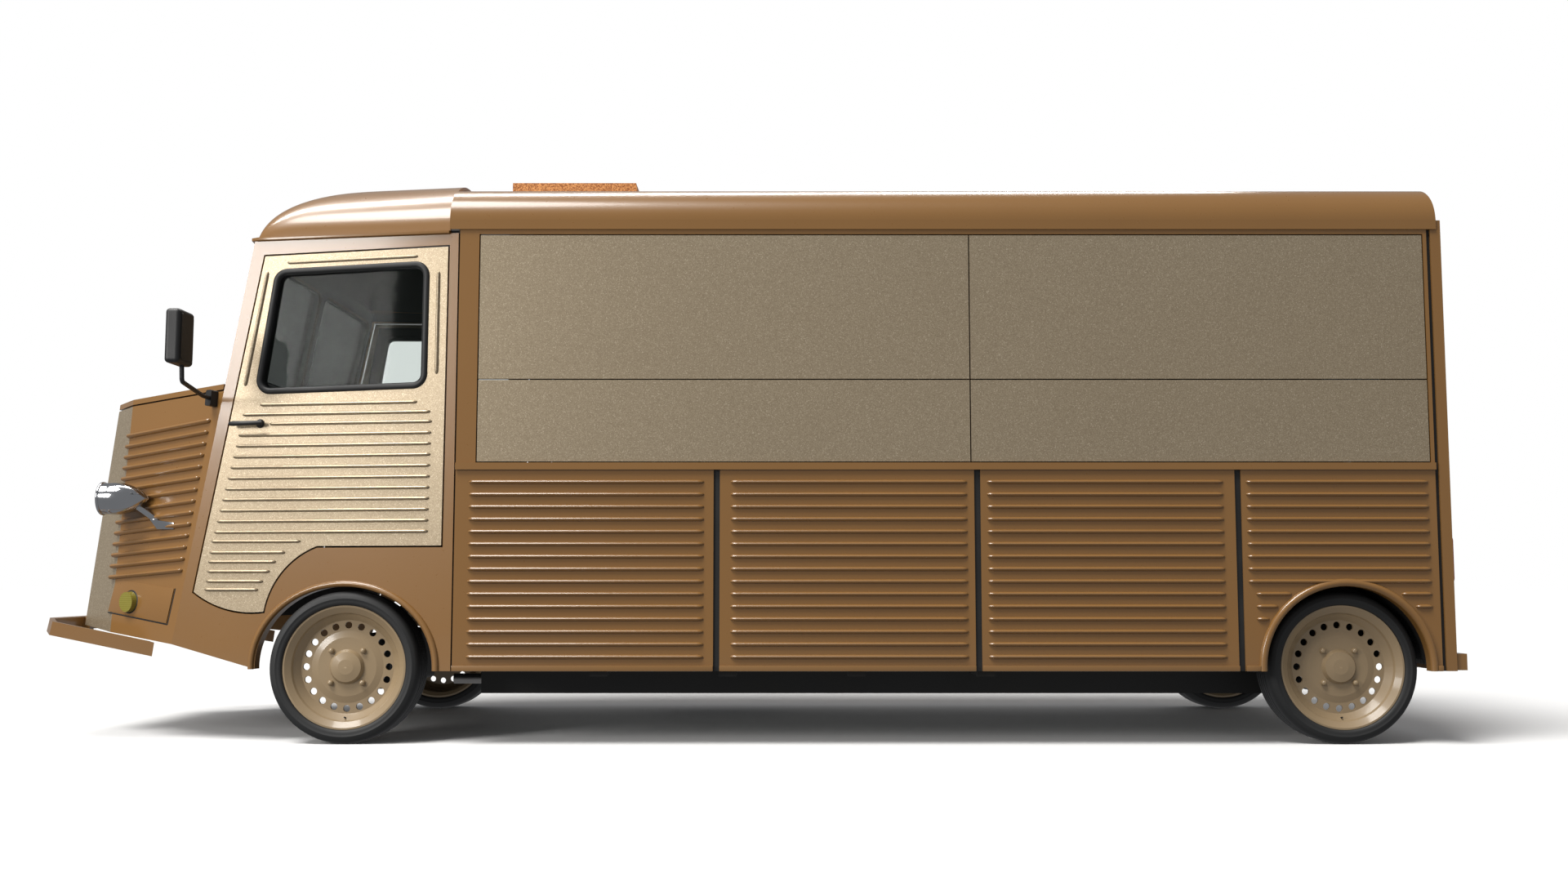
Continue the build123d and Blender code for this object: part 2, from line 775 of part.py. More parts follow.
wheel_box_wall = 12.0
wheel_box_radius = 330.0
with BuildPart() as rear_wheel_boxes:
    with BuildSketch(Plane.XZ.offset(floor_half)):
        with Locations((rear_axle_x, tyre_radius)):
            Circle(wheel_box_radius + wheel_box_wall)
            Circle(wheel_box_radius, mode=Mode.SUBTRACT)
        with Locations((rear_axle_x, floor_z - 300.0)):
            Rectangle(3 * wheel_box_radius, 600.0, mode=Mode.SUBTRACT)
    extrude(amount=-(floor_half - wheel_box_inner))
    with BuildSketch(Plane.XZ.offset(wheel_box_inner)):
        with Locations((rear_axle_x, tyre_radius)):
            Circle(wheel_box_radius + wheel_box_wall)
        with Locations((rear_axle_x, floor_z - 300.0)):
            Rectangle(3 * wheel_box_radius, 600.0, mode=Mode.SUBTRACT)
    extrude(amount=-wheel_box_wall)
    mirror(about=Plane.XZ)
save(rear_wheel_boxes, "rear_wheel_boxes")

# ================================================================ chassis
rail_y = 480.0
rail_width = 80.0
rail_low_z = 172.0
rail_front_x = front_axle_x + 470.0
rail_rear_x = rear_axle_x + 150.0
rail_top_z = floor_z - sheet
beam_radius = 42.0
beam_drop = 75.0
beam_clearance = 10.0
beam_z = tyre_radius - beam_drop
with BuildPart() as chassis_rails:
    for side in (-1, 1):
        with Locations(((rail_front_x + rail_rear_x) / 2, side * rail_y, (rail_low_z + rail_top_z) / 2)):
            Box(rail_rear_x - rail_front_x, rail_width, rail_top_z - rail_low_z)
        with Locations((rear_axle_x, side * rail_y, beam_z + beam_radius + beam_clearance - rail_top_z / 2)):
            Box(2 * (beam_radius + beam_clearance), rail_width, rail_top_z, mode=Mode.SUBTRACT)
save(chassis_rails, "chassis_rails")

member_count = 8
member_width = 70.0
member_height = 70.0
member_pitch = (rail_rear_x - rail_front_x - member_width) / (member_count - 1)
member_half = rail_y - rail_width / 2
outrigger_inner = rail_y + rail_width / 2
outrigger_outer = half_width - wall
outrigger_count = 4
outrigger_height = 45.0
tow_plate = 16.0
tow_eye_radius = 17.0
tow_round = 40.0
tow_eye_x = tail_x - tow_round - 4.0
tow_z = 268.0
with BuildPart() as crossmembers:
    for n in range(member_count):
        x = rail_front_x + member_width / 2 + member_pitch * n
        with Locations((x, 0, rail_top_z - member_height / 2)):
            Box(member_width, 2 * member_half, member_height)
    for n in range(outrigger_count):
        x = rail_front_x + member_width / 2 + member_pitch * (n + 1)
        for side in (-1, 1):
            middle = side * (outrigger_inner + outrigger_outer) / 2
            with Locations((x, middle, rail_top_z - outrigger_height / 2)):
                Box(member_width, outrigger_outer - outrigger_inner, outrigger_height)
    with BuildSketch(Plane.XY.offset(tow_z)):
        with Locations(((rail_rear_x + tow_eye_x) / 2, 0)):
            Rectangle(tow_eye_x - rail_rear_x, 2 * tow_round)
        with Locations((tow_eye_x, 0)):
            Circle(tow_round)
            Circle(tow_eye_radius, mode=Mode.SUBTRACT)
    extrude(amount=-tow_plate)
save(crossmembers, "crossmembers")

# ================================================================ axles, knuckles, wheels
kingpin_y = track / 2 - kingpin_offset
arm_height = 90.0
arm_thickness = 26.0
arm_width = 46.0
eye_radius = 30.0
pin_radius = 15.0
pin_clearance = 0.5
subframe_half = 430.0
with BuildPart() as front_axle:
    with BuildSketch(Plane.XZ.offset(subframe_half)):
        with Locations((front_axle_x, tyre_radius)):
            RectangleRounded(110.0, 2 * arm_height + 60.0, 20.0)
    extrude(amount=-2 * subframe_half)
    for level in (-arm_height, arm_height):
        with BuildSketch(Plane.XY.offset(tyre_radius + level - arm_thickness / 2)):
            with Locations((front_axle_x, -(subframe_half + kingpin_y) / 2)):
                Rectangle(arm_width, kingpin_y - subframe_half)
            with Locations((front_axle_x, -kingpin_y)):
                Circle(eye_radius)
                Circle(pin_radius + pin_clearance, mode=Mode.SUBTRACT)
            mirror(about=Plane.XZ)
        extrude(amount=arm_thickness)
save(front_axle, "front_axle")

knuckle_half = arm_height - arm_thickness / 2 - 1.5
knuckle_radius = 34.0
spindle_reach = 22.0
plate_radius = 115.0
plate_thickness = 6.0
plate_offset = -38.0
knuckles = {}
for side, label in ((-1, "left"), (1, "right")):
    hub_centre = (front_axle_x, side * track / 2, tyre_radius)
    hub_plane = Plane(origin=hub_centre, x_dir=(1, 0, 0), z_dir=(0, side, 0))
    with BuildPart() as knuckle:
        with BuildSketch(Plane(origin=(front_axle_x, side * kingpin_y, tyre_radius - knuckle_half))):
            Circle(knuckle_radius)
        extrude(amount=2 * knuckle_half)
        pin_half = arm_height + arm_thickness / 2
        with BuildSketch(Plane(origin=(front_axle_x, side * kingpin_y, tyre_radius - pin_half))):
            Circle(pin_radius)
        extrude(amount=2 * pin_half)
        with BuildSketch(hub_plane.offset(-kingpin_offset)):
            Circle(spindle_radius)
        extrude(amount=kingpin_offset + spindle_reach)
        with BuildSketch(hub_plane.offset(plate_offset)):
            Circle(plate_radius)
        extrude(amount=plate_thickness)
    save(knuckle, f"knuckle_{label}")

beam_half = track / 2 - 95.0
with BuildPart() as rear_axle:
    with BuildSketch(Plane.XZ.offset(beam_half)):
        with Locations((rear_axle_x, beam_z)):
            Circle(beam_radius)
    extrude(amount=-2 * beam_half)
    for side in (-1, 1):
        rear_centre = (rear_axle_x, side * track / 2, tyre_radius)
        rear_hub = Plane(origin=rear_centre, x_dir=(1, 0, 0), z_dir=(0, side, 0))
        with BuildSketch(rear_hub.offset(-100.0)):
            Circle(spindle_radius)
        extrude(amount=100.0 + spindle_reach)
        with BuildSketch(rear_hub.offset(plate_offset)):
            Circle(plate_radius)
        extrude(amount=plate_thickness)
        with BuildSketch(rear_hub.offset(-130.0)):
            with Locations((0, -38.0)):
                RectangleRounded(90.0, 160.0, 30.0)
        extrude(amount=40.0)
save(rear_axle, "rear_axle")

disc_offset = 30.0
disc_thickness = 8.0
hole_ring_radius = 167.0
hole_radius = 14.0
hole_count = 20
hole_depth = 60.0
hub_inner = -26.0


def rim_profile():
    """Half-section of the pressed wheel: flange, barrel, stepped disc and domed cap."""
    return [
        (hub_radius - 21.0, hub_inner),
        (hub_radius, hub_inner),
        (hub_radius, disc_offset - disc_thickness),
        (150.0, disc_offset - disc_thickness - 4.0),
        (186.0, disc_offset - disc_thickness - 4.0),
        (212.0, 46.0),
        (222.0, 40.0),
        (222.0, -70.0),
        (238.0, -84.0),
        (rim_radius, -84.0),
        (rim_radius, -78.0),
        (barrel_radius, -66.0),
        (barrel_radius, 66.0),
        (rim_radius, 78.0),
        (rim_radius, 84.0),
        (240.0, 84.0),
        (217.0, 66.0),
        (212.0, 56.0),
        (187.0, disc_offset),
        (145.0, disc_offset),
        (118.0, disc_offset + 7.0),
        (70.0, disc_offset + 9.0),
        (60.0, disc_offset + 26.0),
        (30.0, disc_offset + 32.0),
        (0.0, disc_offset + 33.0),
        (0.0, spindle_reach + 4.0),
        (spindle_radius + spindle_clearance, spindle_reach + 4.0),
        (spindle_radius + spindle_clearance, hub_inner),
    ]


def tyre_outline():
    """Half-section of the tyre: flat tread, rounded shoulders, bulged walls, beads on the rim."""
    bead = 64.0
    half_tread = 66.0
    half = tyre_width / 2
    with BuildLine() as outline:
        tread = Line((tyre_radius, -half_tread), (tyre_radius, half_tread))
        ThreePointArc(tread @ 1, (tyre_radius - 9.0, half_tread + 21.0), (tyre_radius - 29.0, half))
        ThreePointArc((tyre_radius - 29.0, half), (rim_radius + 6.0, half - 4.0), (rim_radius + 1.0, 86.0))
        seat = barrel_radius + 1.0
        Polyline((rim_radius + 1.0, 86.0), (rim_radius + 1.0, 77.0), (seat, bead), (seat, 0))
        mirror(about=Plane.XZ)
    return outline.line


for axle_x, axle_name in ((front_axle_x, "front"), (rear_axle_x, "rear")):
    for side, label in ((-1, "left"), (1, "right")):
        wheel_centre = (axle_x, side * track / 2, tyre_radius)
        wheel_plane = Plane(origin=wheel_centre, x_dir=(1, 0, 0), z_dir=(0, 0, 1))
        spin = Axis(wheel_centre, (0, 1, 0))
        with BuildPart() as rim:
            with BuildSketch(wheel_plane):
                with BuildLine():
                    Polyline(*[(r, side * out) for r, out in rim_profile()], close=True)
                make_face()
            revolve(axis=spin)
            wheel_face = Plane(origin=wheel_centre, x_dir=(1, 0, 0), z_dir=(0, side, 0))
            with BuildSketch(wheel_face.offset(hole_depth)):
                with PolarLocations(hole_ring_radius, hole_count):
                    Circle(hole_radius)
            extrude(amount=-hole_depth, mode=Mode.SUBTRACT)
        save(rim, f"rim_{axle_name}_{label}")
        with BuildPart() as tyre:
            with BuildSketch(wheel_plane):
                with BuildLine():
                    add(tyre_outline())
                make_face()
            revolve(axis=spin)
        save(tyre, f"tyre_{axle_name}_{label}")

# ================================================================ heavy and underfloor pieces
engine_front_x = front_axle_x - 1130.0
engine_length = 380.0
engine_half = 190.0
engine_low_z = 475.0
engine_height = 440.0
with BuildPart() as engine_block:
    with Locations((engine_front_x + engine_length / 2, 0, engine_low_z + engine_height / 2)):
        Box(engine_length, 2 * engine_half, engine_height)
    fillet(engine_block.edges().filter_by(Axis.X), 25.0)
save(engine_block, "engine_block")

tank_length = 620.0
tank_front_x = front_axle_x + 1180.0
tank_low_z = 178.0
tank_inner = rail_y + rail_width / 2 + 30.0
tank_outer = half_width - wall - 40.0
tank_top_z = floor_z - sheet - outrigger_height - 1.0
with BuildPart() as fuel_tank:
    tank_y = (tank_inner + tank_outer) / 2
    with Locations((tank_front_x + tank_length / 2, tank_y, (tank_low_z + tank_top_z) / 2)):
        Box(tank_length, tank_outer - tank_inner, tank_top_z - tank_low_z)
    fillet(fuel_tank.edges().filter_by(Axis.X), 30.0)
save(fuel_tank, "fuel_tank")

pipe_radius = 24.0
silencer_radius = 55.0
silencer_length = 520.0
silencer_front_x = front_axle_x + 2300.0
exhaust_y = 250.0
exhaust_z = 186.0
exhaust_start_x = front_axle_x + 190.0
exhaust_end_x = rear_axle_x - 160.0
with BuildPart() as exhaust:
    with BuildSketch(section_plane(exhaust_start_x)):
        with Locations((exhaust_y, exhaust_z)):
            Circle(pipe_radius)
    extrude(amount=exhaust_end_x - exhaust_start_x)
    with BuildSketch(section_plane(silencer_front_x)):
        with Locations((exhaust_y, exhaust_z)):
            Circle(silencer_radius)
    extrude(amount=silencer_length)
save(exhaust, "exhaust")

# ================================================================ bumpers, lamps, mirrors
bumper_tilt = 11.6
bumper_height = 57.0
bumper_plate = 18.0
bumper_half = 750.0
bumper_return_x = front_axle_x - 793.0
bumper_corner_x = bumper_front_x + 78.0
bumper_top_z = 497.0
bumper_bevel_y = 640.0
tilt = radians(bumper_tilt)
bumper_plane = Plane(
    origin=(bumper_front_x + bumper_height * sin(tilt), 0, bumper_top_z),
    x_dir=(cos(tilt), 0, -sin(tilt)),
    z_dir=(sin(tilt), 0, cos(tilt)),
)
with BuildPart() as front_bumper:
    with BuildSketch(bumper_plane):
        with BuildLine() as bumper_path:
            Polyline(
                ((bumper_return_x - bumper_front_x) / cos(tilt), -(bumper_half - bumper_plate / 2)),
                (bumper_corner_x - bumper_front_x, -(bumper_half - bumper_plate / 2)),
                (18.0, -bumper_bevel_y),
                (bumper_plate / 2, 0),
                (18.0, bumper_bevel_y),
                (bumper_corner_x - bumper_front_x, bumper_half - bumper_plate / 2),
                ((bumper_return_x - bumper_front_x) / cos(tilt), bumper_half - bumper_plate / 2),
            )
        trace(line_width=bumper_plate)
        for side in (-1, 1):
            with Locations((135.0, side * 330.0)):
                Rectangle(250.0, 40.0)
    extrude(amount=-bumper_height)
    add(nose_block(0.0), mode=Mode.SUBTRACT)
save(front_bumper, "front_bumper")

rear_bumper_low_z = 296.0
rear_bumper_height = 65.0
rear_bumper_half = half_width - 12.0
rear_bumper_front_x = rear_face_x + 6.0
with BuildPart() as rear_bumper:
    with Locations(((rear_bumper_front_x + tail_x) / 2, 0, rear_bumper_low_z + rear_bumper_height / 2)):
        Box(tail_x - rear_bumper_front_x, 2 * rear_bumper_half, rear_bumper_height)
    for side in (-1, 1):
        with Locations(((rear_face_x + rear_bumper_front_x) / 2, side * 700.0, rear_bumper_low_z + 30.0)):
            Box(rear_bumper_front_x - rear_face_x, 60.0, 40.0)
save(rear_bumper, "rear_bumper")

lamp_x = front_axle_x - 1000.0
lamp_y = 305.0 - half_width
lamp_z = 993.0
lamp_radius = 66.0
lamp_length = 190.0
stalk_foot = (front_axle_x - 850.0, 310.0 - half_width, 888.0)
with BuildPart() as headlamps:
    with BuildSketch(Plane(origin=(lamp_x, lamp_y, lamp_z), x_dir=(1, 0, 0), z_dir=(0, 0, 1))):
        with BuildLine():
            Line((-lamp_length / 2, 0), (-lamp_length / 2, lamp_radius))
            Line((-lamp_length / 2, lamp_radius), (-lamp_length / 2 + 30.0, lamp_radius))
            bowl_start = (-lamp_length / 2 + 30.0, lamp_radius)
            ThreePointArc(bowl_start, (45.0, lamp_radius * 0.66), (lamp_length / 2, 0))
            Line((lamp_length / 2, 0), (-lamp_length / 2, 0))
        make_face()
    revolve(axis=Axis((lamp_x, lamp_y, lamp_z), (1, 0, 0)))
    with BuildLine() as stalk:
        Line((lamp_x + 30.0, lamp_y, lamp_z - 20.0), stalk_foot)
    with BuildSketch(Plane(origin=stalk.line @ 0, z_dir=stalk.line % 0)):
        Circle(13.0)
    sweep(path=stalk.line)
    mirror(about=Plane.XZ)
    add(nose_block(0.0), mode=Mode.SUBTRACT)
save(headlamps, "headlamps")

lamp_plate_normal = (-sin(radians(splay)), -cos(radians(splay)), 0)
indicator_z = 561.0
indicator_x = front_axle_x - 983.0
indicator_back = (crease_x(indicator_z) - indicator_x) * tan(radians(splay))
indicator_y = nose_corners(indicator_z, 0.0)[0][1] + indicator_back
indicator_radius = 44.0
indicator_depth = 26.0
with BuildPart() as indicators:
    with BuildSketch(Plane(origin=(indicator_x, indicator_y, indicator_z), z_dir=lamp_plate_normal)):
        Circle(indicator_radius)
    extrude(amount=indicator_depth, taper=6.0)
    extrude(indicators.faces().sort_by(Axis.Y)[-1], amount=8.0)
    mirror(about=Plane.XZ)
    add(nose_block(0.0), mode=Mode.SUBTRACT)
save(indicators, "indicators")

tail_lamp_z = 640.0
tail_lamp_height = 190.0
tail_lamp_width = 70.0
tail_lamp_y = half_width - rear_post / 2
tail_lamp_depth = 12.0
with BuildPart() as tail_lamps:
    with BuildSketch(rear_plane):
        for side in (-1, 1):
            with Locations((side * tail_lamp_y, tail_lamp_z + tail_lamp_height / 2)):
                RectangleRounded(tail_lamp_width, tail_lamp_height, 22.0)
    extrude(amount=tail_lamp_depth, taper=8.0)
save(tail_lamps, "tail_lamps")

mirror_x = front_axle_x - 606.0
mirror_y = 1185.0
mirror_low_z = 1490.0
mirror_height = 214.0
mirror_depth = 60.0
mirror_width = 150.0
arm_radius = 9.0
arm_foot_z = 1400.0
arm_foot_back = 44.0
clamp_depth = 36.0
crease_dir = Vector(crease_slope, -tan(taper) * crease_slope, 1)
nose_dir = Vector(-cos(radians(splay)), sin(radians(splay)), 0)
nose_side_normal = crease_dir.cross(nose_dir)
clamp_plane = Plane(
    origin=(crease_x(arm_foot_z), -cab_half_width(crease_x(arm_foot_z)), arm_foot_z),
    x_dir=nose_dir,
    z_dir=nose_side_normal,
)
arm_foot = clamp_plane.from_local_coords((arm_foot_back, 0, clamp_depth - 14.0))
with BuildPart() as mirrors:
    with Locations((mirror_x, -mirror_y, mirror_low_z + mirror_height / 2)):
        Box(mirror_depth, mirror_width, mirror_height)
    fillet(mirrors.edges(), 16.0)
    with BuildLine() as arm_path:
        FilletPolyline(
            arm_foot,
            (arm_foot.X - 10.0, arm_foot.Y - 60.0, arm_foot_z + 4.0),
            (mirror_x, -mirror_y + 40.0, mirror_low_z - 60.0),
            (mirror_x, -mirror_y + 30.0, mirror_low_z + 30.0),
            radius=18.0,
        )
    with BuildSketch(Plane(origin=arm_path.line @ 0, z_dir=arm_path.line % 0)):
        Circle(arm_radius)
    sweep(path=arm_path.line)
    with BuildSketch(clamp_plane):
        with Locations((arm_foot_back, 0)):
            RectangleRounded(34.0, 66.0, 8.0)
    extrude(amount=clamp_depth)
    mirror(about=Plane.XZ)
save(mirrors, "mirrors")

# ================================================================ cab inside
seat_y = 400.0
seat_half_width = 230.0
seat_front_x = front_axle_x - 190.0
seat_depth = 440.0
seat_cushion_z = 900.0
seat_pad = 95.0
with BuildPart() as seat_frames:
    for side in (-1, 1):
        with Locations((seat_front_x + seat_depth / 2, side * seat_y, (seat_deck_z + seat_cushion_z) / 2)):
            Box(seat_depth - 60.0, 2 * seat_half_width - 60.0, seat_cushion_z - seat_deck_z)
save(seat_frames, "seat_frames")

back_angle = 12.0
back_height = 430.0
back_pad = 80.0
lean = radians(back_angle)
back_foot_z = seat_cushion_z + seat_pad + back_pad * sin(lean) + 9.0
with BuildPart() as seat_pads:
    for side in (-1, 1):
        with Locations((seat_front_x + seat_depth / 2, side * seat_y, seat_cushion_z + 1.0 + seat_pad / 2)):
            Box(seat_depth, 2 * seat_half_width, seat_pad)
        back_plane = Plane(
            origin=(seat_front_x + seat_depth - back_pad - 12.0, side * seat_y, back_foot_z),
            x_dir=(0, 1, 0),
            z_dir=(-cos(lean), 0, sin(lean)),
        )
        with BuildSketch(back_plane.offset(-back_pad)):
            with Locations((0, -back_height / 2)):
                RectangleRounded(2 * seat_half_width, back_height, 50.0)
        extrude(amount=back_pad)
save(seat_pads, "seat_pads")

dash_depth = 90.0
dash_low_z = 1240.0
dash_top_z = 1425.0
dash_front_x = firewall_x(dash_top_z) + sheet + 2.0
with BuildPart() as dashboard:
    with BuildSketch(Plane.XZ.offset(half_width)):
        with BuildLine():
            Polyline(
                (dash_front_x, dash_top_z),
                (dash_front_x, dash_low_z),
                (dash_front_x + dash_depth - 30.0, dash_low_z),
                (dash_front_x + dash_depth, dash_top_z - 40.0),
                (dash_front_x + dash_depth - 30.0, dash_top_z),
                close=True,
            )
        make_face()
    extrude(amount=-body_width)
    add(cab_width_block.part, mode=Mode.INTERSECT)
    add(cab_door_left.part, mode=Mode.SUBTRACT)
    add(cab_door_right.part, mode=Mode.SUBTRACT)
save(dashboard, "dashboard")

wheel_ring_radius = 200.0
wheel_ring_tube = 13.0
wheel_angle = 50.0
column_length = 405.0
column_top = (front_axle_x - 265.0, -seat_y, 1225.0)
column = radians(wheel_angle)
steering_plane = Plane(origin=column_top, x_dir=(0, 1, 0), z_dir=(sin(column), 0, cos(column)))
with BuildPart() as steering_wheel:
    with Locations(steering_plane.location):
        Torus(wheel_ring_radius, wheel_ring_tube)
    with BuildSketch(steering_plane.offset(-8.0)):
        Rectangle(2 * wheel_ring_radius, 26.0)
        Circle(42.0)
    extrude(amount=16.0)
    with BuildSketch(steering_plane.offset(-column_length)):
        Circle(20.0)
    extrude(amount=column_length)
save(steering_wheel, "steering_wheel")
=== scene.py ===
import bmesh
import bpy
import json
from math import asin, atan2, cos, hypot, pi, radians, sin, sqrt, tan
from mathutils import Matrix, Vector


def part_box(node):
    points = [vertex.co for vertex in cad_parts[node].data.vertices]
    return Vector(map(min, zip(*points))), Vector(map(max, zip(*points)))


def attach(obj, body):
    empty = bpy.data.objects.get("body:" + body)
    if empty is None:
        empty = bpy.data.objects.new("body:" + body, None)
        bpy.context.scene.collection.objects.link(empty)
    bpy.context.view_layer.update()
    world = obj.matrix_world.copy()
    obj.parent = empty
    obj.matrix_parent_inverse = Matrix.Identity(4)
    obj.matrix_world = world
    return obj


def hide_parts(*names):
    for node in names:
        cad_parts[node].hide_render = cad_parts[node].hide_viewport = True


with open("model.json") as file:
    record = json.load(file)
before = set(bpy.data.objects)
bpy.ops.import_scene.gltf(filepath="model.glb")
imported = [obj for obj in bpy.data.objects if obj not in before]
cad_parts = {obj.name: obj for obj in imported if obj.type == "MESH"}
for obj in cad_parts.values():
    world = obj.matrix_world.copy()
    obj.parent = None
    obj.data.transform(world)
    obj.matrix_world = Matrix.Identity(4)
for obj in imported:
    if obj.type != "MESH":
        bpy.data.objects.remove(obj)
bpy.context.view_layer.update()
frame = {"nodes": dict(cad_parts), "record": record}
cad_nodes = frame["nodes"]
BODY = "truck_body"
SIDES = {"left": -1, "right": 1}
scene = bpy.context.scene

# ---------------------------------------------------------------- stations read from the frame
panel_low, panel_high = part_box("lower_panels")
cab_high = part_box("cab_sides")[1]
rear_low, rear_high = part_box("rear_frame")
half_width = panel_high.y
sill_z = panel_low.z
cab_rear_x = cab_high.x
cab_top_z = cab_high.z


def box_centre(node):
    """Middle of a CAD node's box."""
    low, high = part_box(node)
    return (low + high) / 2


front_axle = box_centre("tyre_front_left")
rear_axle = box_centre("tyre_rear_left")
tyre_radius = front_axle.z

# ---------------------------------------------------------------- shader building


class Value:
    """A socket that takes part in arithmetic; each operator adds its Math node."""

    def __init__(self, finish, socket):
        self.finish = finish
        self.socket = socket

    def _math(self, operation, first, second):
        node = self.finish.node("ShaderNodeMath", {"operation": operation}, {0: first, 1: second})
        return Value(self.finish, node.outputs[0])

    def __add__(self, other):
        return self._math("ADD", self, other)

    def __radd__(self, other):
        return self._math("ADD", other, self)

    def __sub__(self, other):
        return self._math("SUBTRACT", self, other)

    def __rsub__(self, other):
        return self._math("SUBTRACT", other, self)

    def __mul__(self, other):
        return self._math("MULTIPLY", self, other)

    def __rmul__(self, other):
        return self._math("MULTIPLY", other, self)

    def __pow__(self, other):
        return self._math("POWER", self, other)


class Finish:
    """One procedural material: a Principled shader, and the nodes that vary its colour, gloss and relief."""

    def __init__(self, name, **constants):
        self.material = bpy.data.materials.new(name)
        self.material.use_nodes = True
        self.tree = self.material.node_tree
        self.shader = self.tree.nodes["Principled BSDF"]
        self.place = self.node("ShaderNodeTexCoord").outputs["Object"]
        for key, value in constants.items():
            self.shader.inputs[key.replace("_", " ")].default_value = value

    def node(self, kind, settings=None, sockets=None):
        """Any node: its settings first, then values or links for its sockets."""
        made = self.tree.nodes.new(kind)
        for key, value in (settings or {}).items():
            if key == "stops":
                ramp = made.color_ramp
                for element, (position, shade) in zip((ramp.elements[0], ramp.elements[1]), value):
                    element.position = position
                    element.color = (shade, shade, shade, 1)
            else:
                setattr(made, key, value)
        for key, value in (sockets or {}).items():
            self.feed(made.inputs[key], value)
        return made

    def feed(self, socket, value):
        """Sets a socket, or links it to a Value or another socket."""
        if isinstance(value, Value):
            value = value.socket
        if isinstance(value, bpy.types.NodeSocket):
            self.tree.links.new(value, socket)
        else:
            socket.default_value = value

    def stretched(self, scale):
        """The object's place scaled per axis, for grain that runs one way."""
        return self.node(
            "ShaderNodeMapping", None, {"Vector": self.place, "Scale": scale}
        ).outputs[0]

    def noise(self, scale, detail=2.0, rough=0.5, place=None):
        """Soft noise from 0 to 1 with features about 1/scale metres across."""
        sockets = {
            "Vector": place or self.place, "Scale": scale, "Detail": detail, "Roughness": rough
        }
        return Value(self, self.node("ShaderNodeTexNoise", None, sockets).outputs["Fac"])

    def cells(self, scale, feature="F1", place=None):
        """Distance pattern of Voronoi cells about 1/scale metres across."""
        sockets = {"Vector": place or self.place, "Scale": scale}
        return Value(
            self,
            self.node("ShaderNodeTexVoronoi", {"feature": feature}, sockets).outputs["Distance"]
        )

    def flakes(self, scale):
        """A random grey for each Voronoi cell."""
        cell = self.node(
            "ShaderNodeTexVoronoi", None, {"Vector": self.place, "Scale": scale}
        ).outputs["Color"]
        parts = self.node("ShaderNodeSeparateColor", None, {"Color": cell})
        return Value(self, parts.outputs[0])

    def ramp(self, value, low, high):
        """Remaps a value to 0 at low and 1 at high."""
        node = self.node("ShaderNodeValToRGB", {"stops": [(low, 0.0), (high, 1.0)]}, {"Fac": value})
        return Value(self, node.outputs[0])

    def axis(self, name):
        """One coordinate of the object's place, in metres."""
        return Value(
            self, self.node("ShaderNodeSeparateXYZ", None, {"Vector": self.place}).outputs[name]
        )

    def blend(self, factor, first, second):
        """Mixes two colours."""
        sockets = {0: factor, 6: first, 7: second}
        return self.node("ShaderNodeMix", {"data_type": "RGBA"}, sockets).outputs[2]

    def colour(self, value):
        self.feed(self.shader.inputs["Base Color"], value)

    def rough(self, value):
        self.feed(self.shader.inputs["Roughness"], value)

    def relief(self, height, depth, strength=1.0):
        """Bump of a height pattern; depth in metres."""
        sockets = {"Height": height, "Distance": depth, "Strength": strength}
        bump = self.node("ShaderNodeBump", None, sockets)
        self.feed(self.shader.inputs["Normal"], bump.outputs[0])


def tone(red, green, blue, gain=1.0):
    """A linear colour from 0-255 display values."""
    linear = [((c / 255 + 0.055) / 1.055) ** 2.4 * gain for c in (red, green, blue)]
    return (*linear, 1.0)


def body_paint(name, main, shade, roughness, coat):
    """Gloss paint: faint orange peel, slow colour drift, and road film towards the sill."""
    paint = Finish(name, Coat_Weight=coat, Coat_Roughness=0.12, Specular_IOR_Level=0.5)
    drift = paint.noise(1.6, 3.0)
    film = paint.ramp(1.0 - paint.axis("Z") * 1.6 + drift * 0.5, 0.55, 1.25)
    speck = paint.ramp(paint.noise(240.0, 3.0), 0.62, 0.8)
    painted = paint.blend(drift, main, shade)
    dusty = paint.blend(film * 0.22, painted, tone(112, 98, 78))
    paint.colour(paint.blend(speck * 0.10, dusty, tone(60, 46, 30)))
    paint.rough(roughness + film * 0.14 + paint.noise(60.0, 2.0) * 0.05)
    paint.relief(paint.noise(320.0, 1.0) * 0.6 + paint.noise(9.0, 1.0) * 0.4, 0.0004, 0.35)
    return paint.material


def sparkle_paint(name, main, shade):
    """Metallic paint with a coarse grain of bright and dark flakes."""
    paint = Finish(name, Metallic=0.6, Coat_Weight=0.2, Coat_Roughness=0.25)
    grain = paint.noise(260.0, 2.0, 0.7)
    flake = paint.flakes(380.0)
    spread = paint.ramp(grain * 0.6 + flake * 0.4, 0.25, 0.75)
    slow = paint.noise(1.2, 2.0)
    base = paint.blend(slow, main, shade)
    dark = paint.blend(spread, tone(146, 130, 106), base)
    paint.colour(paint.blend(paint.ramp(flake, 0.92, 0.99) * 0.45, dark, tone(226, 212, 188)))
    paint.rough(0.36 + grain * 0.12)
    paint.relief(grain * 0.7 + flake * 0.3, 0.0004, 0.4)
    return paint.material


def rough_coat(name, main, shade, grain_scale, roughness, depth=0.0005):
    """Matte coat such as chassis black or moulded plastic, with a fine even grain and dry dust."""
    coat = Finish(name)
    grain = coat.noise(grain_scale, 3.0, 0.6)
    dust = coat.ramp(coat.noise(5.0, 4.0), 0.45, 0.75)
    coat.colour(coat.blend(dust * 0.5 + grain * 0.3, main, shade))
    coat.rough(roughness + dust * 0.12)
    coat.relief(grain, depth, 0.5)
    return coat.material


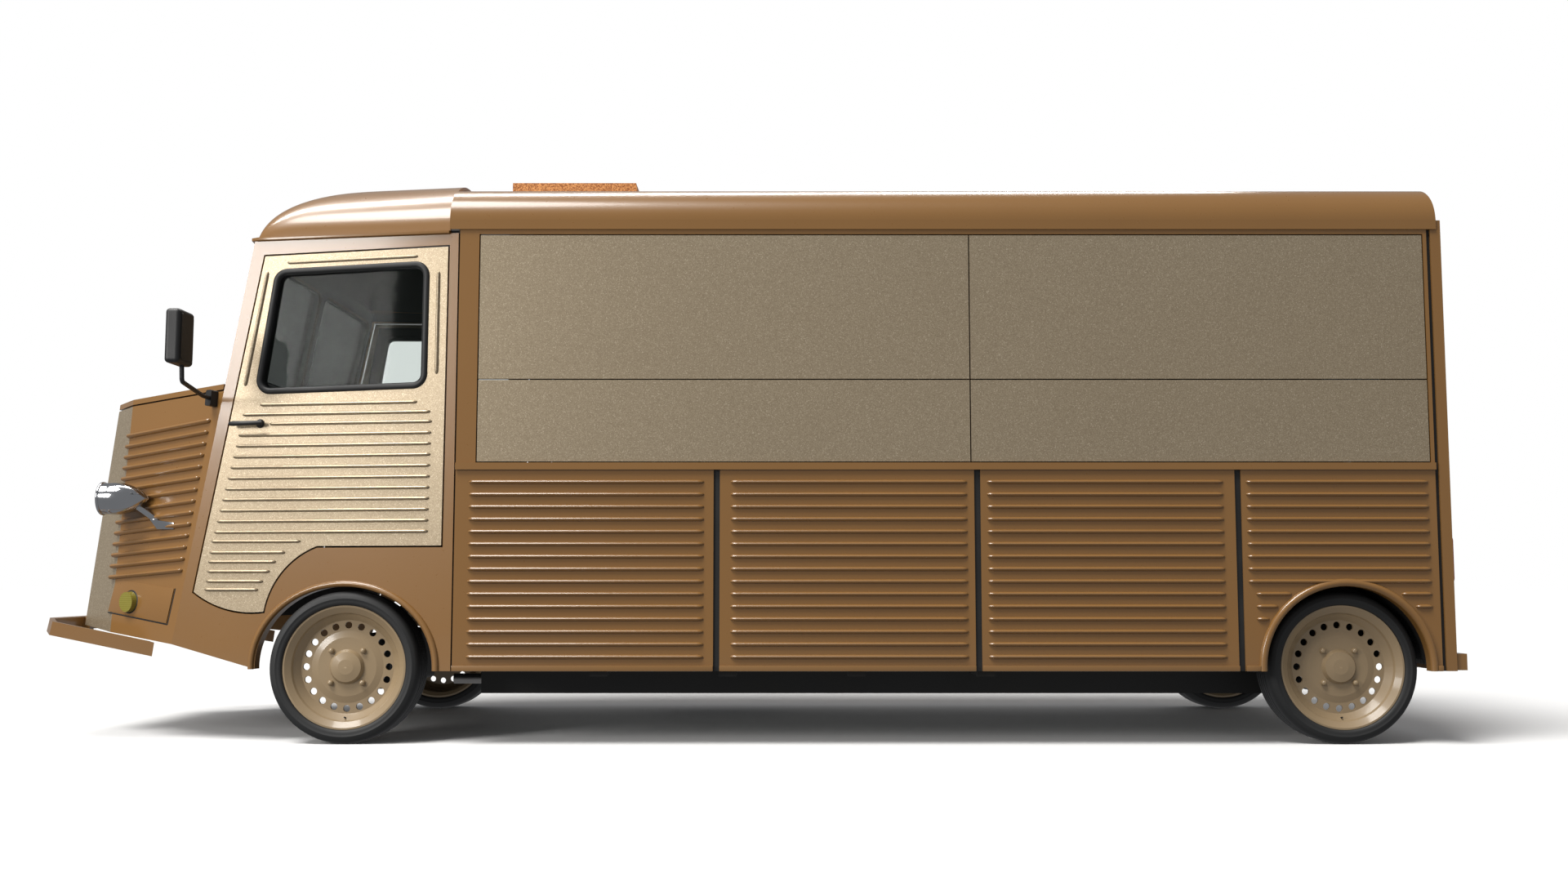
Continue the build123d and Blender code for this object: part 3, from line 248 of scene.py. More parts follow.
def metal(name, main, shade, roughness, scratch=(3.0, 90.0, 90.0), metallic=1.0):
    """Bare or plated metal with a drawn grain and slow staining."""
    bare = Finish(name, Metallic=metallic)
    lines = bare.noise(6.0, 4.0, 0.6, bare.stretched(scratch))
    stain = bare.noise(7.0, 3.0)
    bare.colour(bare.blend(stain * 0.6 + lines * 0.4, main, shade))
    bare.rough(roughness + stain * 0.08 + lines * 0.06)
    bare.relief(lines, 0.0001, 0.3)
    return bare.material


def lens(name, main, shade, flutes=160.0):
    """Moulded lens plastic with fine flutes."""
    moulded = Finish(name, Coat_Weight=0.6, Coat_Roughness=0.08)
    wave = moulded.node(
        "ShaderNodeTexWave", {"bands_direction": "Z"},
        {"Vector": moulded.place, "Scale": flutes / 3}
    )
    ridge = Value(moulded, wave.outputs["Fac"])
    moulded.colour(moulded.blend(ridge * 0.5 + moulded.noise(40.0) * 0.3, main, shade))
    moulded.rough(0.22 + ridge * 0.1)
    moulded.relief(ridge, 0.0006, 0.6)
    return moulded.material


def clear_glass(name):
    """Thin window glass: mostly see-through, with gloss that grows towards grazing angles and faint smears."""
    pane = Finish(name, Roughness=0.02, Metallic=0.0, Specular_IOR_Level=0.6)
    smear = pane.noise(4.0, 4.0)
    pane.colour(pane.blend(smear, tone(58, 64, 62), tone(90, 96, 92)))
    pane.rough(0.02 + smear * 0.05)
    clear = pane.node("ShaderNodeBsdfTransparent", None, {"Color": (0.93, 0.95, 0.94, 1)})
    facing = Value(
        pane, pane.node("ShaderNodeLayerWeight", None, {"Blend": 0.25}).outputs["Fresnel"]
    )
    mix = pane.node(
        "ShaderNodeMixShader", None,
        {0: facing * facing * facing * facing * 0.9 + 0.04, 1: clear.outputs[0]}
    )
    pane.feed(mix.inputs[2], pane.shader.outputs[0])
    pane.feed(pane.tree.nodes["Material Output"].inputs["Surface"], mix.outputs[0])
    return pane.material


def leather(name):
    """Dark seat leather: pebbled grain, soft creases and worn shine."""
    hide = Finish(name, Specular_IOR_Level=0.45)
    pebble = hide.cells(420.0)
    crease = hide.noise(28.0, 5.0, 0.65)
    wear = hide.ramp(hide.noise(6.0, 3.0), 0.4, 0.7)
    hide.colour(hide.blend(wear * 0.6 + crease * 0.3, tone(38, 32, 28), tone(70, 58, 48)))
    hide.rough(0.42 + pebble * 0.2 - wear * 0.08)
    hide.relief(pebble * 0.6 + crease * 0.8, 0.0012, 0.6)
    return hide.material


def grained_vent(name):
    """Orange grit coating of the roof vent."""
    grit = Finish(name, Metallic=0.2)
    grain = grit.noise(170.0, 3.0, 0.8)
    chips = grit.flakes(240.0)
    mixed = grit.ramp(grain * 0.6 + chips * 0.4, 0.35, 0.65)
    grit.colour(grit.blend(mixed, tone(158, 92, 44), tone(238, 170, 104)))
    grit.rough(0.5 + grain * 0.2)
    grit.relief(mixed, 0.0012, 0.7)
    return grit.material


def floor_plate(name):
    """Ribbed aluminium floor."""
    plate = Finish(name, Metallic=0.8)
    wave = plate.node(
        "ShaderNodeTexWave", {"bands_direction": "Y"}, {"Vector": plate.place, "Scale": 12.0}
    )
    ridge = Value(plate, wave.outputs["Fac"]) ** 3.0
    scuff = plate.noise(11.0, 5.0)
    plate.colour(plate.blend(scuff, tone(120, 120, 118), tone(168, 168, 165)))
    plate.rough(0.35 + scuff * 0.3)
    plate.relief(ridge, 0.002, 0.6)
    return plate.material


def studio_floor(name):
    """Pale floor with the faintest mottling."""
    ground = Finish(name, Roughness=0.75, Specular_IOR_Level=0.15)
    mottle = ground.noise(0.8, 2.0)
    ground.colour(ground.blend(mottle, (0.90, 0.90, 0.90, 1), (0.92, 0.92, 0.92, 1)))
    return ground.material


finishes = {
    "ochre_paint": body_paint("ochre_paint", tone(136, 98, 52), tone(129, 92, 48), 0.26, 0.45),
    "beige_metallic": sparkle_paint("beige_metallic", tone(186, 170, 144), tone(176, 160, 134)),
    "rim_beige": body_paint("rim_beige", tone(156, 135, 104), tone(149, 127, 97), 0.30, 0.4),
    "chassis_black": rough_coat("chassis_black", tone(20, 20, 20), tone(44, 42, 38), 180.0, 0.55),
    "rubber_black": rough_coat(
        "rubber_black", tone(16, 17, 18), tone(34, 34, 34), 420.0, 0.52, 0.0003
    ),
    "tyre_black": rough_coat("tyre_black", tone(26, 27, 28), tone(42, 42, 42), 300.0, 0.6),
    "black_plastic": rough_coat(
        "black_plastic", tone(18, 18, 19), tone(32, 32, 33), 700.0, 0.45, 0.0003
    ),
    "chrome": metal("chrome", (0.52, 0.53, 0.55, 1), (0.40, 0.41, 0.43, 1), 0.04, (1.0, 1.0, 1.0)),
    "steel": metal("steel", (0.34, 0.33, 0.32, 1), (0.22, 0.21, 0.2, 1), 0.34),
    "iron": rough_coat("iron", tone(64, 62, 60), tone(92, 84, 74), 240.0, 0.6, 0.0012),
    "olive_lens": lens("olive_lens", tone(120, 112, 34), tone(142, 134, 52)),
    "red_lens": lens("red_lens", tone(150, 14, 12), tone(176, 26, 20)),
    "clear_glass": clear_glass("clear_glass"),
    "orange_vent": grained_vent("orange_vent"),
    "seat_leather": leather("seat_leather"),
    "floor_plate": floor_plate("floor_plate"),
}
slot_of = {row["node"]: row["material_slot"] for row in frame["record"]["subparts"]}
for node_name, cad_object in cad_nodes.items():
    cad_object.data.materials.clear()
    cad_object.data.materials.append(finishes[slot_of[node_name]])

# ---------------------------------------------------------------- mesh building
SMOOTH_ANGLE = radians(38)


class Shape:
    """Vertices and faces of one piece while it is being built."""

    def __init__(self):
        self.points = []
        self.faces = []

    def loft(self, rings, ring_closed=True, looped=False, capped=True):
        """Skin over rings of equally many points."""
        start = len(self.points)
        count = len(rings[0])
        for ring in rings:
            self.points.extend(Vector(p) for p in ring)
        spans = len(rings) if looped else len(rings) - 1
        sides = count if ring_closed else count - 1
        for i in range(spans):
            j = (i + 1) % len(rings)
            for k in range(sides):
                n = (k + 1) % count
                self.faces.append(
                    (
                        start + i * count + k, start + i * count + n, start + j * count + n,
                        start + j * count + k
                    )
                )
        if capped and not looped:
            self.faces.append(tuple(start + k for k in reversed(range(count))))
            self.faces.append(tuple(start + (len(rings) - 1) * count + k for k in range(count)))
        return self

    def block(self, low, high):
        """Upright box between two corners."""
        x0, y0, z0 = low
        x1, y1, z1 = high
        lower = [(x0, y0, z0), (x1, y0, z0), (x1, y1, z0), (x0, y1, z0)]
        return self.loft([lower, [(x, y, z1) for x, y, z in lower]])

    def bead(self, path, out, half, height, looped=False, taper=0.0, round_steps=6, sink=0.002):
        """Raised rounded rib along a path that lies on a surface; out is the surface's normal."""
        out = Vector(out).normalized()
        path = [Vector(p) for p in path]
        if taper:
            path = _with_tips(path, taper)
        reach = _distances(path)
        rings = []
        for i, point in enumerate(path):
            before = path[i - 1] if (i or looped) else path[i]
            after = path[(i + 1) % len(path)] if (i < len(path) - 1 or looped) else path[i]
            along = (after - before).normalized()
            across = out.cross(along).normalized()
            size = 1.0
            if taper:
                edge = min(reach[i], reach[-1] - reach[i])
                size = max(0.06, sqrt(max(0.0, 1 - (1 - min(edge / taper, 1.0)) ** 2)))
            arc = [pi * k / round_steps for k in range(round_steps + 1)]
            ring = [
                point + across * (half * size * cos(a)) + out * (
                    height * size * sin(a)
                ) for a in arc
            ]
            ring.append(point - across * (half * size) - out * sink)
            ring.append(point + across * (half * size) - out * sink)
            rings.append(ring)
        return self.loft(rings, looped=looped)

    def tube(self, path, radius, sides=12):
        """Round bar along a path."""
        path = [Vector(p) for p in path]
        rings = []
        side = None
        for i, point in enumerate(path):
            along = (path[min(i + 1, len(path) - 1)] - path[max(i - 1, 0)]).normalized()
            if side is None:
                side = along.cross(Vector((0.31, 0.87, 0.38))).normalized()
            side = (side - along * side.dot(along)).normalized()
            other = along.cross(side)
            size = radius[i] if isinstance(radius, (list, tuple)) else radius
            rings.append(
                [
                    point + (
                        side * cos(2 * pi * k / sides) + other * sin(2 * pi * k / sides)
                    ) * size for k in range(sides)
                ]
            )
        return self.loft(rings)

    def turned(self, profile, centre, axis, sides=48, looped=False):
        """Profile of (radius, distance along the axis) turned about an axis."""
        axis = Vector(axis).normalized()
        first = axis.orthogonal().normalized()
        second = axis.cross(first)
        rings = []
        for radius, along in profile:
            ring = []
            for k in range(sides):
                turn = 2 * pi * k / sides
                ring.append(
                    Vector(centre) + axis * along + (
                        first * cos(turn) + second * sin(turn)
                    ) * max(radius, 1e-5)
                )
            rings.append(ring)
        return self.loft(rings, looped=looped)


def _distances(path):
    total = [0.0]
    for a, b in zip(path, path[1:]):
        total.append(total[-1] + (b - a).length)
    return total


def _with_tips(path, taper):
    """Adds close points near both ends of a path, for a rounded tip."""
    first = (path[1] - path[0]).normalized()
    last = (path[-2] - path[-1]).normalized()
    shares = (0.0, 0.08, 0.25, 0.5, 0.75, 1.0)
    head = [path[0] + first * (taper * s) for s in shares]
    tail = [path[-1] + last * (taper * s) for s in reversed(shares)]
    return head + path[1:-1] + tail


def piece(name, shape, slot, body=BODY, rounding=0.0, smooth=SMOOTH_ANGLE, finish=None):
    """Turns a shape into a finished piece that rides on a body."""
    mesh = bpy.data.meshes.new(name)
    if isinstance(shape, bpy.types.Mesh):
        mesh = shape
        mesh.name = name
    else:
        mesh.from_pydata([tuple(p) for p in shape.points], [], shape.faces)
    work = bmesh.new()
    work.from_mesh(mesh)
    bmesh.ops.remove_doubles(work, verts=work.verts, dist=1e-6)
    bmesh.ops.recalc_face_normals(work, faces=work.faces)
    if rounding:
        sharp = [e for e in work.edges if e.is_manifold and e.calc_face_angle(0) > radians(42)]
        bmesh.ops.bevel(
            work, geom=sharp, offset=rounding, segments=2, profile=0.6, affect="EDGES",
            clamp_overlap=True
        )
    work.to_mesh(mesh)
    work.free()
    for face in mesh.polygons:
        face.use_smooth = True
    mesh.set_sharp_from_angle(angle=smooth)
    made = bpy.data.objects.new(name, mesh)
    scene.collection.objects.link(made)
    mesh.materials.append(finish or finishes[slot])
    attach(made, body)
    return made


def sheet_mesh(outlines, thickness, place, edge=0.0):
    """Flat sheet with rounded edges and holes: outlines are lists of (u, v), placed by a matrix."""
    curve = bpy.data.curves.new("sheet", "CURVE")
    curve.dimensions = "2D"
    curve.fill_mode = "BOTH"
    curve.extrude = thickness / 2 - edge
    curve.bevel_depth = edge
    curve.bevel_resolution = 1
    for outline in outlines:
        spline = curve.splines.new("POLY")
        spline.points.add(len(outline) - 1)
        for point, (u, v) in zip(spline.points, outline):
            point.co = (u, v, 0, 1)
        spline.use_cyclic_u = True
    holder = bpy.data.objects.new("sheet", curve)
    scene.collection.objects.link(holder)
    mesh = bpy.data.meshes.new_from_object(
        holder.evaluated_get(bpy.context.evaluated_depsgraph_get())
    )
    bpy.data.objects.remove(holder)
    bpy.data.curves.remove(curve)
    mesh.materials.clear()
    mesh.transform(place)
    return mesh


def rounded_outline(corners, radius, steps=8, grow=0.0):
    """Closed polygon of (u, v) with its corners rounded; grow moves every side outward."""
    corners = [Vector((c[0], c[1])) for c in corners]
    area = sum(a.x * b.y - b.x * a.y for a, b in zip(corners, corners[1:] + corners[:1]))
    turn = 1 if area > 0 else -1
    moved = []
    for i, corner in enumerate(corners):
        to_here = (corner - corners[i - 1]).normalized()
        from_here = (corners[(i + 1) % len(corners)] - corner).normalized()
        n1 = Vector((to_here.y, -to_here.x)) * turn
        n2 = Vector((from_here.y, -from_here.x)) * turn
        moved.append(corner + (n1 + n2) * (grow / (1 + n1.dot(n2))))
    points = []
    size = max(radius + grow, 0.001)
    for i, corner in enumerate(moved):
        before = (moved[i - 1] - corner).normalized()
        after = (moved[(i + 1) % len(moved)] - corner).normalized()
        half = before.angle(after) / 2
        reach = size / tan(half)
        centre = corner + (before + after).normalized() * (size / sin(half))
        start = corner + before * reach - centre
        end = corner + after * reach - centre
        sweep = start.angle_signed(end)
        for k in range(steps + 1):
            points.append(centre + Matrix.Rotation(-sweep * k / steps, 2) @ start)
    return [(p.x, p.y) for p in points]


# ---------------------------------------------------------------- the cab's tapered side and the nose's side
taper = radians(9.36)
splay = radians(30.4)
crease_foot = (front_axle.x - 0.746, 0.391)
crease_slope = 0.18536
cab_out = Vector((-sin(taper), -cos(taper), 0))
nose_out = Vector((-0.5060, -0.8600, 0.0674)).normalized()


def mirrored(points, side):
    """Points made on the left, moved to the given side."""
    return [Vector((p[0], -p[1] * side, p[2])) for p in points]


def outward(normal, side):
    """A left-hand normal for the given side."""
    return Vector((normal[0], -normal[1] * side, normal[2]))


def cab_point(x, z):
    """Point on the left cab side."""
    return Vector((x, -(half_width - (cab_rear_x - x) * tan(taper)), z))


def crease_x(z):
    return crease_foot[0] + (z - crease_foot[1]) * crease_slope


def nose_point(x, z):
    """Point on the left side of the nose."""
    crease = cab_point(crease_x(z), z)
    return Vector((x, crease.y + (crease.x - x) * tan(splay), z))


# ---------------------------------------------------------------- corrugated sides
rib_half = 0.0085
rib_height = 0.013
rib_top_z = 1.044
rib_pitch = 0.0496
rib_rows = 15
full_rows_over_wheel = 9
bay_spans = [(-1.065, -0.123), (-0.017, 0.930), (1.008, 1.955), (2.045, 2.776)]
short_rib_inset = 0.030
arch_lip_centre = 0.339
arch_lip_outer = 0.366
shortest_rib = 0.035
strip_xs = [-0.072, 0.971, 2.014]
strip_half = 0.0125


def side_ribs(side):
    """Every raised rib of one lower side."""
    shape = Shape()
    out = (0, side, 0)
    y = side * half_width
    for bay, (start, end) in enumerate(bay_spans):
        for row in range(rib_rows):
            z = rib_top_z - row * rib_pitch
            spans = [(start, end)]
            if bay == len(bay_spans) - 1 and row >= full_rows_over_wheel:
                rise = z - tyre_radius
                reach = sqrt(max(arch_lip_outer ** 2 - rise ** 2, 0.0))
                spans = [(start + short_rib_inset, rear_axle.x - reach), (rear_axle.x + reach, end)]
            for a, b in spans:
                if b - a > shortest_rib:
                    shape.bead([(a, y, z), (b, y, z)], out, rib_half, rib_height, taper=0.026)
    return shape


def arc_points(centre_x, centre_z, half, rise, turns):
    return [(centre_x + half * cos(t), centre_z + rise * sin(t)) for t in turns]


lip_proud = 0.012
for label, side in SIDES.items():
    piece(f"side_ribs_{label}", side_ribs(side), "ochre_paint")

    lips = Shape()
    edges = [panel_low.x] + strip_xs + [panel_high.x]
    for i, (a, b) in enumerate(zip(edges, edges[1:])):
        a += strip_half if i else 0
        b -= strip_half if i < len(edges) - 2 else 0
        runs = [(a, b)] if i < 3 else [
            (a, rear_axle.x - arch_lip_centre - 0.012), (rear_axle.x + arch_lip_centre + 0.012, b)
        ]
        for low_x, high_x in runs:
            inner, outer = sorted((side * (half_width - 0.001), side * (half_width + lip_proud)))
            lips.block((low_x, inner, sill_z), (high_x, outer, sill_z + 0.022))
    piece(f"sill_lips_{label}", lips, "ochre_paint", rounding=0.003)

    arch = Shape()
    foot = asin((sill_z - tyre_radius) / arch_lip_centre)
    turns = [foot + (pi - 2 * foot) * k / 40 for k in range(41)]
    rear_arc = arc_points(rear_axle.x, tyre_radius, arch_lip_centre, arch_lip_centre, turns)
    arch.bead(
        [(x, side * half_width, z) for x, z in rear_arc], (0, side, 0), 0.0155, 0.016, round_steps=8
    )
    front_half, front_rise = 0.378 + 0.011, 0.323 + 0.011
    foot = asin((sill_z - tyre_radius) / front_rise)
    turns = [foot + (pi - 2 * foot) * k / 40 for k in range(41)]
    front_arc = arc_points(front_axle.x - 0.009, tyre_radius, front_half, front_rise, turns)
    arch.bead(
        mirrored([cab_point(x, z) for x, z in front_arc], side), outward(cab_out, side), 0.0125,
        0.013, round_steps=8
    )
    piece(f"arch_lips_{label}", arch, "ochre_paint")

# ---------------------------------------------------------------- joints between body sections
seals = Shape()
for side in SIDES.values():
    for low_x, high_x in (
        (cab_rear_x + 0.0003, panel_low.x - 0.0003), (panel_high.x + 0.0003, rear_low.x - 0.0003)
    ):
        inner, outer = sorted((side * (half_width - 0.034), side * (half_width - 0.010)))
        seals.block((low_x, inner, sill_z), (high_x, outer, 2.071))
piece("joint_seals", seals, "rubber_black")

# Gutter round the cab roof
gutter_low, gutter_high = cab_top_z - 0.004, cab_top_z + 0.011
top_crease = crease_x(cab_top_z)
side_line = [cab_point(x, 0) for x in (cab_rear_x - 0.036, top_crease + 0.10, top_crease + 0.02)]
corner_line = [
    Vector((top_crease - 0.004, side_line[-1].y + 0.012, 0)),
    Vector((top_crease - 0.010, side_line[-1].y + 0.06, 0))
]
front_line = [Vector((top_crease - 0.012, 0, 0))]
left_line = side_line + corner_line
whole = left_line + front_line + [Vector((p.x, -p.y, 0)) for p in reversed(left_line)]
gutter_rings = []
for i, point in enumerate(whole):
    along = (whole[min(i + 1, len(whole) - 1)] - whole[max(i - 1, 0)]).normalized()
    out = Vector((along.y, -along.x, 0)) * -1
    inner_edge = point - out * 0.014
    outer_edge = point + out * 0.013
    gutter_rings.append([
        (inner_edge.x, inner_edge.y, gutter_high), (outer_edge.x, outer_edge.y, gutter_high),
        (outer_edge.x, outer_edge.y, gutter_low + 0.003), (
            point.x + out.x * 0.004, point.y + out.y * 0.004, gutter_low
        ),
        (inner_edge.x, inner_edge.y, gutter_high - 0.006),
    ])
piece("cab_gutter", Shape().loft(gutter_rings), "ochre_paint", rounding=0.0015)

# Cab roof: one smooth dome whose brow and shoulders run into each other
brow_length, brow_power = 0.603, 2.297
shoulder_width, shoulder_power = 0.418, 2.066
corner_power = 3.095
dome_rise = 0.278
dome_step = 0.006


front_spacing, side_spacing = 1.6, 1.5
dome_sheet, headlining_gap, headlining_sheet = 0.012, 0.014, 0.004


def dome_surface(drop, columns=56, rows=72):
    """Grid over the cab roof, lowered by drop at every point, from the front to the box roof."""
    grid = []
    front = crease_x(cab_top_z) + drop
    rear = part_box("cab_roof")[1].x
    for i in range(columns + 1):
        x = front + (rear - front) * (i / columns) ** front_spacing
        half = half_width - (cab_rear_x - x) * tan(taper) - dome_step - drop
        line = []
        for j in range(rows + 1):
            share = j / rows * 2 - 1
            y = half * (1 - (1 - abs(share)) ** side_spacing) * (1 if share > 0 else -1)
            brow = min(max((x - front) / brow_length, 0.0), 1.0)
            shoulder = min(max((half - abs(y)) / shoulder_width, 0.0), 1.0)
            low_front = 1 - (1 - (1 - brow) ** brow_power) ** (1 / brow_power)
            low_side = 1 - (1 - (1 - shoulder) ** shoulder_power) ** (1 / shoulder_power)
            fall = min(
                1.0, (low_front ** corner_power + low_side ** corner_power) ** (1 / corner_power)
            )
            line.append((x, y, cab_top_z + (dome_rise - drop) * (1 - fall)))
        grid.append(line)
    return grid


def dome_shell(drop, thickness):
    """Closed shell between two dome surfaces."""
    rings = []
    for outer, inner in zip(dome_surface(drop), dome_surface(drop + thickness)):
        rings.append(outer + list(reversed(inner)))
    return Shape().loft(rings)


dome = piece("cab_dome", dome_shell(0.0, dome_sheet), "ochre_paint", smooth=radians(60))
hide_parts("cab_roof")
piece(
    "cab_headlining", dome_shell(headlining_gap, headlining_sheet), "black_plastic",
    smooth=radians(60)
)

# Low strips over the box roof
roof_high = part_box("box_roof")[1]
strip_stations = (0.185, 0.695, 1.215)
strip_reach, strip_fall, strip_spacing, strip_sink = 0.42, 0.064 * 0.24, 0.012, 0.004
strips = Shape()
for x in strip_stations:
    for k in (-1, 0):
        path = []
        for n in range(9):
            y = strip_reach * (n - 4) / 4
            drop = strip_fall * (y / strip_reach) ** 2 + strip_sink
            path.append((x + strip_spacing * (k + 0.5), y, roof_high.z - drop))
        strips.bead(path, (0, 0, 1), 0.006, 0.0075, taper=0.02)
piece("roof_strips", strips, "ochre_paint")

# ---------------------------------------------------------------- cab doors
door_ribs = [
    (-1.959, -1.285, 1.370), (-2.033, -1.229, 1.330), (-1.914, -1.221, 1.290),
    (-2.048, -1.223, 1.245)
]
rib_step = (1.245 - 0.848) / 9
long_rib_fronts = [-2.048 - 0.0103 * k for k in range(10)]
door_ribs += [(long_rib_fronts[k], -1.223 - 0.0006 * k, 1.245 - rib_step * k) for k in range(1, 10)]
door_ribs += [(-2.152, -1.765, 0.810), (-2.158, -1.830, 0.765), (-2.163, -1.868, 0.727)]
door_ribs += [(-2.166, -1.893, 0.688), (-2.169, -1.921, 0.648), (-2.175, -1.941, 0.614)]
window_corners = [
    (front_axle.x - 0.327, 1.916), (front_axle.x + 0.302, 1.929), (front_axle.x + 0.300, 1.443),
    (front_axle.x - 0.400, 1.431)
]
window_radius = 0.042
seal_half = 0.013


def cab_matrix(depth, side):
    """Places (x, z) outlines on the cab's side, sunk by depth."""
    u = Vector((1, tan(taper) * side, 0))
    origin = Vector(
        (0, side * (half_width - (cab_rear_x - 0) * tan(taper)), 0)
    ) - outward(cab_out, side) * depth
    normal = outward(cab_out, side)
    return Matrix(
        (
            (u.x, 0, normal.x, origin.x), (u.y, 0, normal.y, origin.y),
            (u.z, 1, normal.z, origin.z), (0, 0, 0, 1)
        )
    )


for label, side in SIDES.items():
    door = f"cab_door_{label}"
    out = outward(cab_out, side)
    ribs = Shape()
    for a, b, z in door_ribs:
        ribs.bead(
            mirrored([cab_point(a, z), cab_point(b, z)], side), out, 0.0075, 0.0105, taper=0.018
        )
    ribs.bead(
        mirrored([cab_point(-1.857, 1.960), cab_point(-1.295, 1.968)], side), out, 0.0075, 0.0085,
        taper=0.018
    )
    ribs.bead(
        mirrored([cab_point(-1.942, 1.925), cab_point(-2.026, 1.449)], side), out, 0.0075, 0.0085,
        taper=0.018
    )
    ribs.bead(
        mirrored([cab_point(-1.207, 1.903), cab_point(-1.207, 1.481)], side), out, 0.0075, 0.0085,
        taper=0.018
    )
    piece(f"door_ribs_{label}", ribs, "beige_metallic", door)

    outer_seal = Shape()
    ring = rounded_outline(window_corners, window_radius, grow=0.006)
    for depth, way, name in ((0.0, 1, "outer"), (0.040, -1, "inner")):
        path = mirrored([cab_point(x, z) - cab_out * depth for x, z in ring], side)
        outer_seal.bead(path, out * way, seal_half, 0.009, looped=True, round_steps=8)
    inner_ring = rounded_outline(window_corners, window_radius, grow=-0.001)
    reveal = []
    for depth in (0.0, 0.040):
        reveal.append(mirrored([cab_point(x, z) - cab_out * depth for x, z in inner_ring], side))
    slimmer = rounded_outline(window_corners, window_radius, grow=-0.008)
    for depth in (0.040, 0.0):
        reveal.append(mirrored([cab_point(x, z) - cab_out * depth for x, z in slimmer], side))
    outer_seal.loft(reveal, looped=True)
    piece(f"window_seals_{label}", outer_seal, "rubber_black", door)

    handle = Shape()
    start, end = cab_point(-2.072, 1.291), cab_point(-1.935, 1.293)
    grip = [
        start + cab_out * 0.028, start.lerp(end, 0.12) + cab_out * 0.034,
        start.lerp(end, 0.85) + cab_out * 0.032, end + cab_out * 0.026
    ]
    handle.tube(mirrored(grip, side), [0.0085, 0.0105, 0.0095, 0.008], 16)
    handle.tube(
        mirrored([end + cab_out * 0.028 - Vector((0.02, 0, 0)), end - Vector((0.02, 0, 0))], side),
        0.008, 12
    )
    handle.turned(
        [(0.0, 0.008), (0.012, 0.007), (0.017, 0.003), (0.018, -0.001)],
        mirrored([end - Vector((0.02, 0, 0))], side)[0], out, 24
    )
    piece(f"door_handle_{label}", handle, "black_plastic", door)

    trim_outline = [
        (-2.155, 0.60), (-1.990, 0.548), (-1.925, 0.56), (-1.86, 0.68), (-1.70, 0.815),
        (-1.195, 0.815), (-1.187, 1.985), (-1.935, 1.972)
    ]
    hole = rounded_outline(window_corners, window_radius, grow=0.003)
    trim = sheet_mesh([trim_outline, hole], 0.006, cab_matrix(0.0432, side), 0.001)
    piece(f"door_trim_{label}", trim, "black_plastic", door)

# Dark lining round the doorways, inside the cab
lining_outline = [
    (-1.127, 0.700), (-1.127, 2.055), (-2.000, 2.055), (-2.248, 0.700), (-2.217, 0.700),
    (-1.9705, 2.004), (-1.157, 2.014), (-1.158, 0.700)
]
for label, side in SIDES.items():
    lining = sheet_mesh([lining_outline], 0.004, cab_matrix(0.0428, side), 0.0005)
    piece(f"cab_lining_{label}", lining, "black_plastic")

# ---------------------------------------------------------------- nose
louvre_count = 14
louvre_first = ((-2.634, 1.269), (-2.178, 1.311))
louvre_last = ((-2.679, 0.664), (-2.276, 0.693))
for label, side in SIDES.items():
    out = outward(nose_out, side)
    louvres = Shape()
    for n in range(louvre_count):
        share = n / (louvre_count - 1)
        front = [a + (b - a) * share for a, b in zip(louvre_first[0], louvre_last[0])]
        rear = [a + (b - a) * share for a, b in zip(louvre_first[1], louvre_last[1])]
        path = mirrored([nose_point(*front), nose_point(*rear)], side)
        louvres.bead(path, out, 0.0100, 0.015, taper=0.014)
    piece(f"nose_louvres_{label}", louvres, "ochre_paint")

    flap = Shape()
    corners = [
        (-2.672, 0.521, 0.0015), (-2.342, 0.475, 0.0045), (-2.313, 0.617, 0.0045),
        (-2.640, 0.655, 0.0002)
    ]
    top = mirrored([nose_point(x, z) + nose_out * rise for x, z, rise in corners], side)
    under = mirrored([nose_point(x, z) - nose_out * 0.001 for x, z, rise in corners], side)
    flap.loft([under, top])
    piece(f"nose_flaps_{label}", flap, "ochre_paint", rounding=0.001)
    groove = Shape()
    low_edge = [nose_point(-2.674, 0.5165), nose_point(-2.339, 0.470)]
    rear_edge = [nose_point(-2.3385, 0.470), nose_point(-2.3085, 0.618)]
    for path in (low_edge, rear_edge):
        groove.bead(mirrored(path, side), out, 0.0028, 0.0012, round_steps=4)
    piece(f"nose_flap_seals_{label}", groove, "rubber_black")

    gasket = Shape()
    lamp = box_centre("indicators")
    seat = mirrored([nose_point(-2.548, 0.561)], side)[0]
    gasket.turned(
        [(0.0, 0.004), (0.046, 0.004), (0.050, 0.002), (0.050, -0.002), (0.0, -0.002)], seat, out,
        36
    )
    piece(f"indicator_gasket_{label}", gasket, "rubber_black")

# Headlamps: rim, lens and bracket
lamp_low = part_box("headlamps")[0]
lamp_centre = Vector((lamp_low.x, -0.695, 0.993))
lamp_radius = 0.066
rims = Shape()
glasses = Shape()
brackets = Shape()
for side in SIDES.values():
    centre = mirrored([lamp_centre], side)[0]
    ring = [
        (
            lamp_radius + 0.0045 * cos(2 * pi * k / 10), 0.002 + 0.006 * sin(2 * pi * k / 10)
        ) for k in range(10)
    ]
    rims.turned(ring, centre, (-1, 0, 0), 56, looped=True)
    dome = [
        (
            lamp_radius * 0.965 * cos(pi / 2 * k / 6), 0.002 + 0.014 * sin(pi / 2 * k / 6)
        ) for k in range(7)
    ]
    glasses.turned([(lamp_radius * 0.965, 0.0002)] + dome, centre, (-1, 0, 0), 56)
    foot = [
        nose_point(-2.440, 0.905), nose_point(-2.335, 0.890), nose_point(-2.335, 0.862),
        nose_point(-2.410, 0.862)
    ]
    raised = [
        foot[0] + nose_out * 0.034, foot[1] + nose_out * 0.008, foot[2] + nose_out * 0.006,
        foot[3] + nose_out * 0.020
    ]
    brackets.loft([mirrored(foot, side), mirrored(raised, side)])
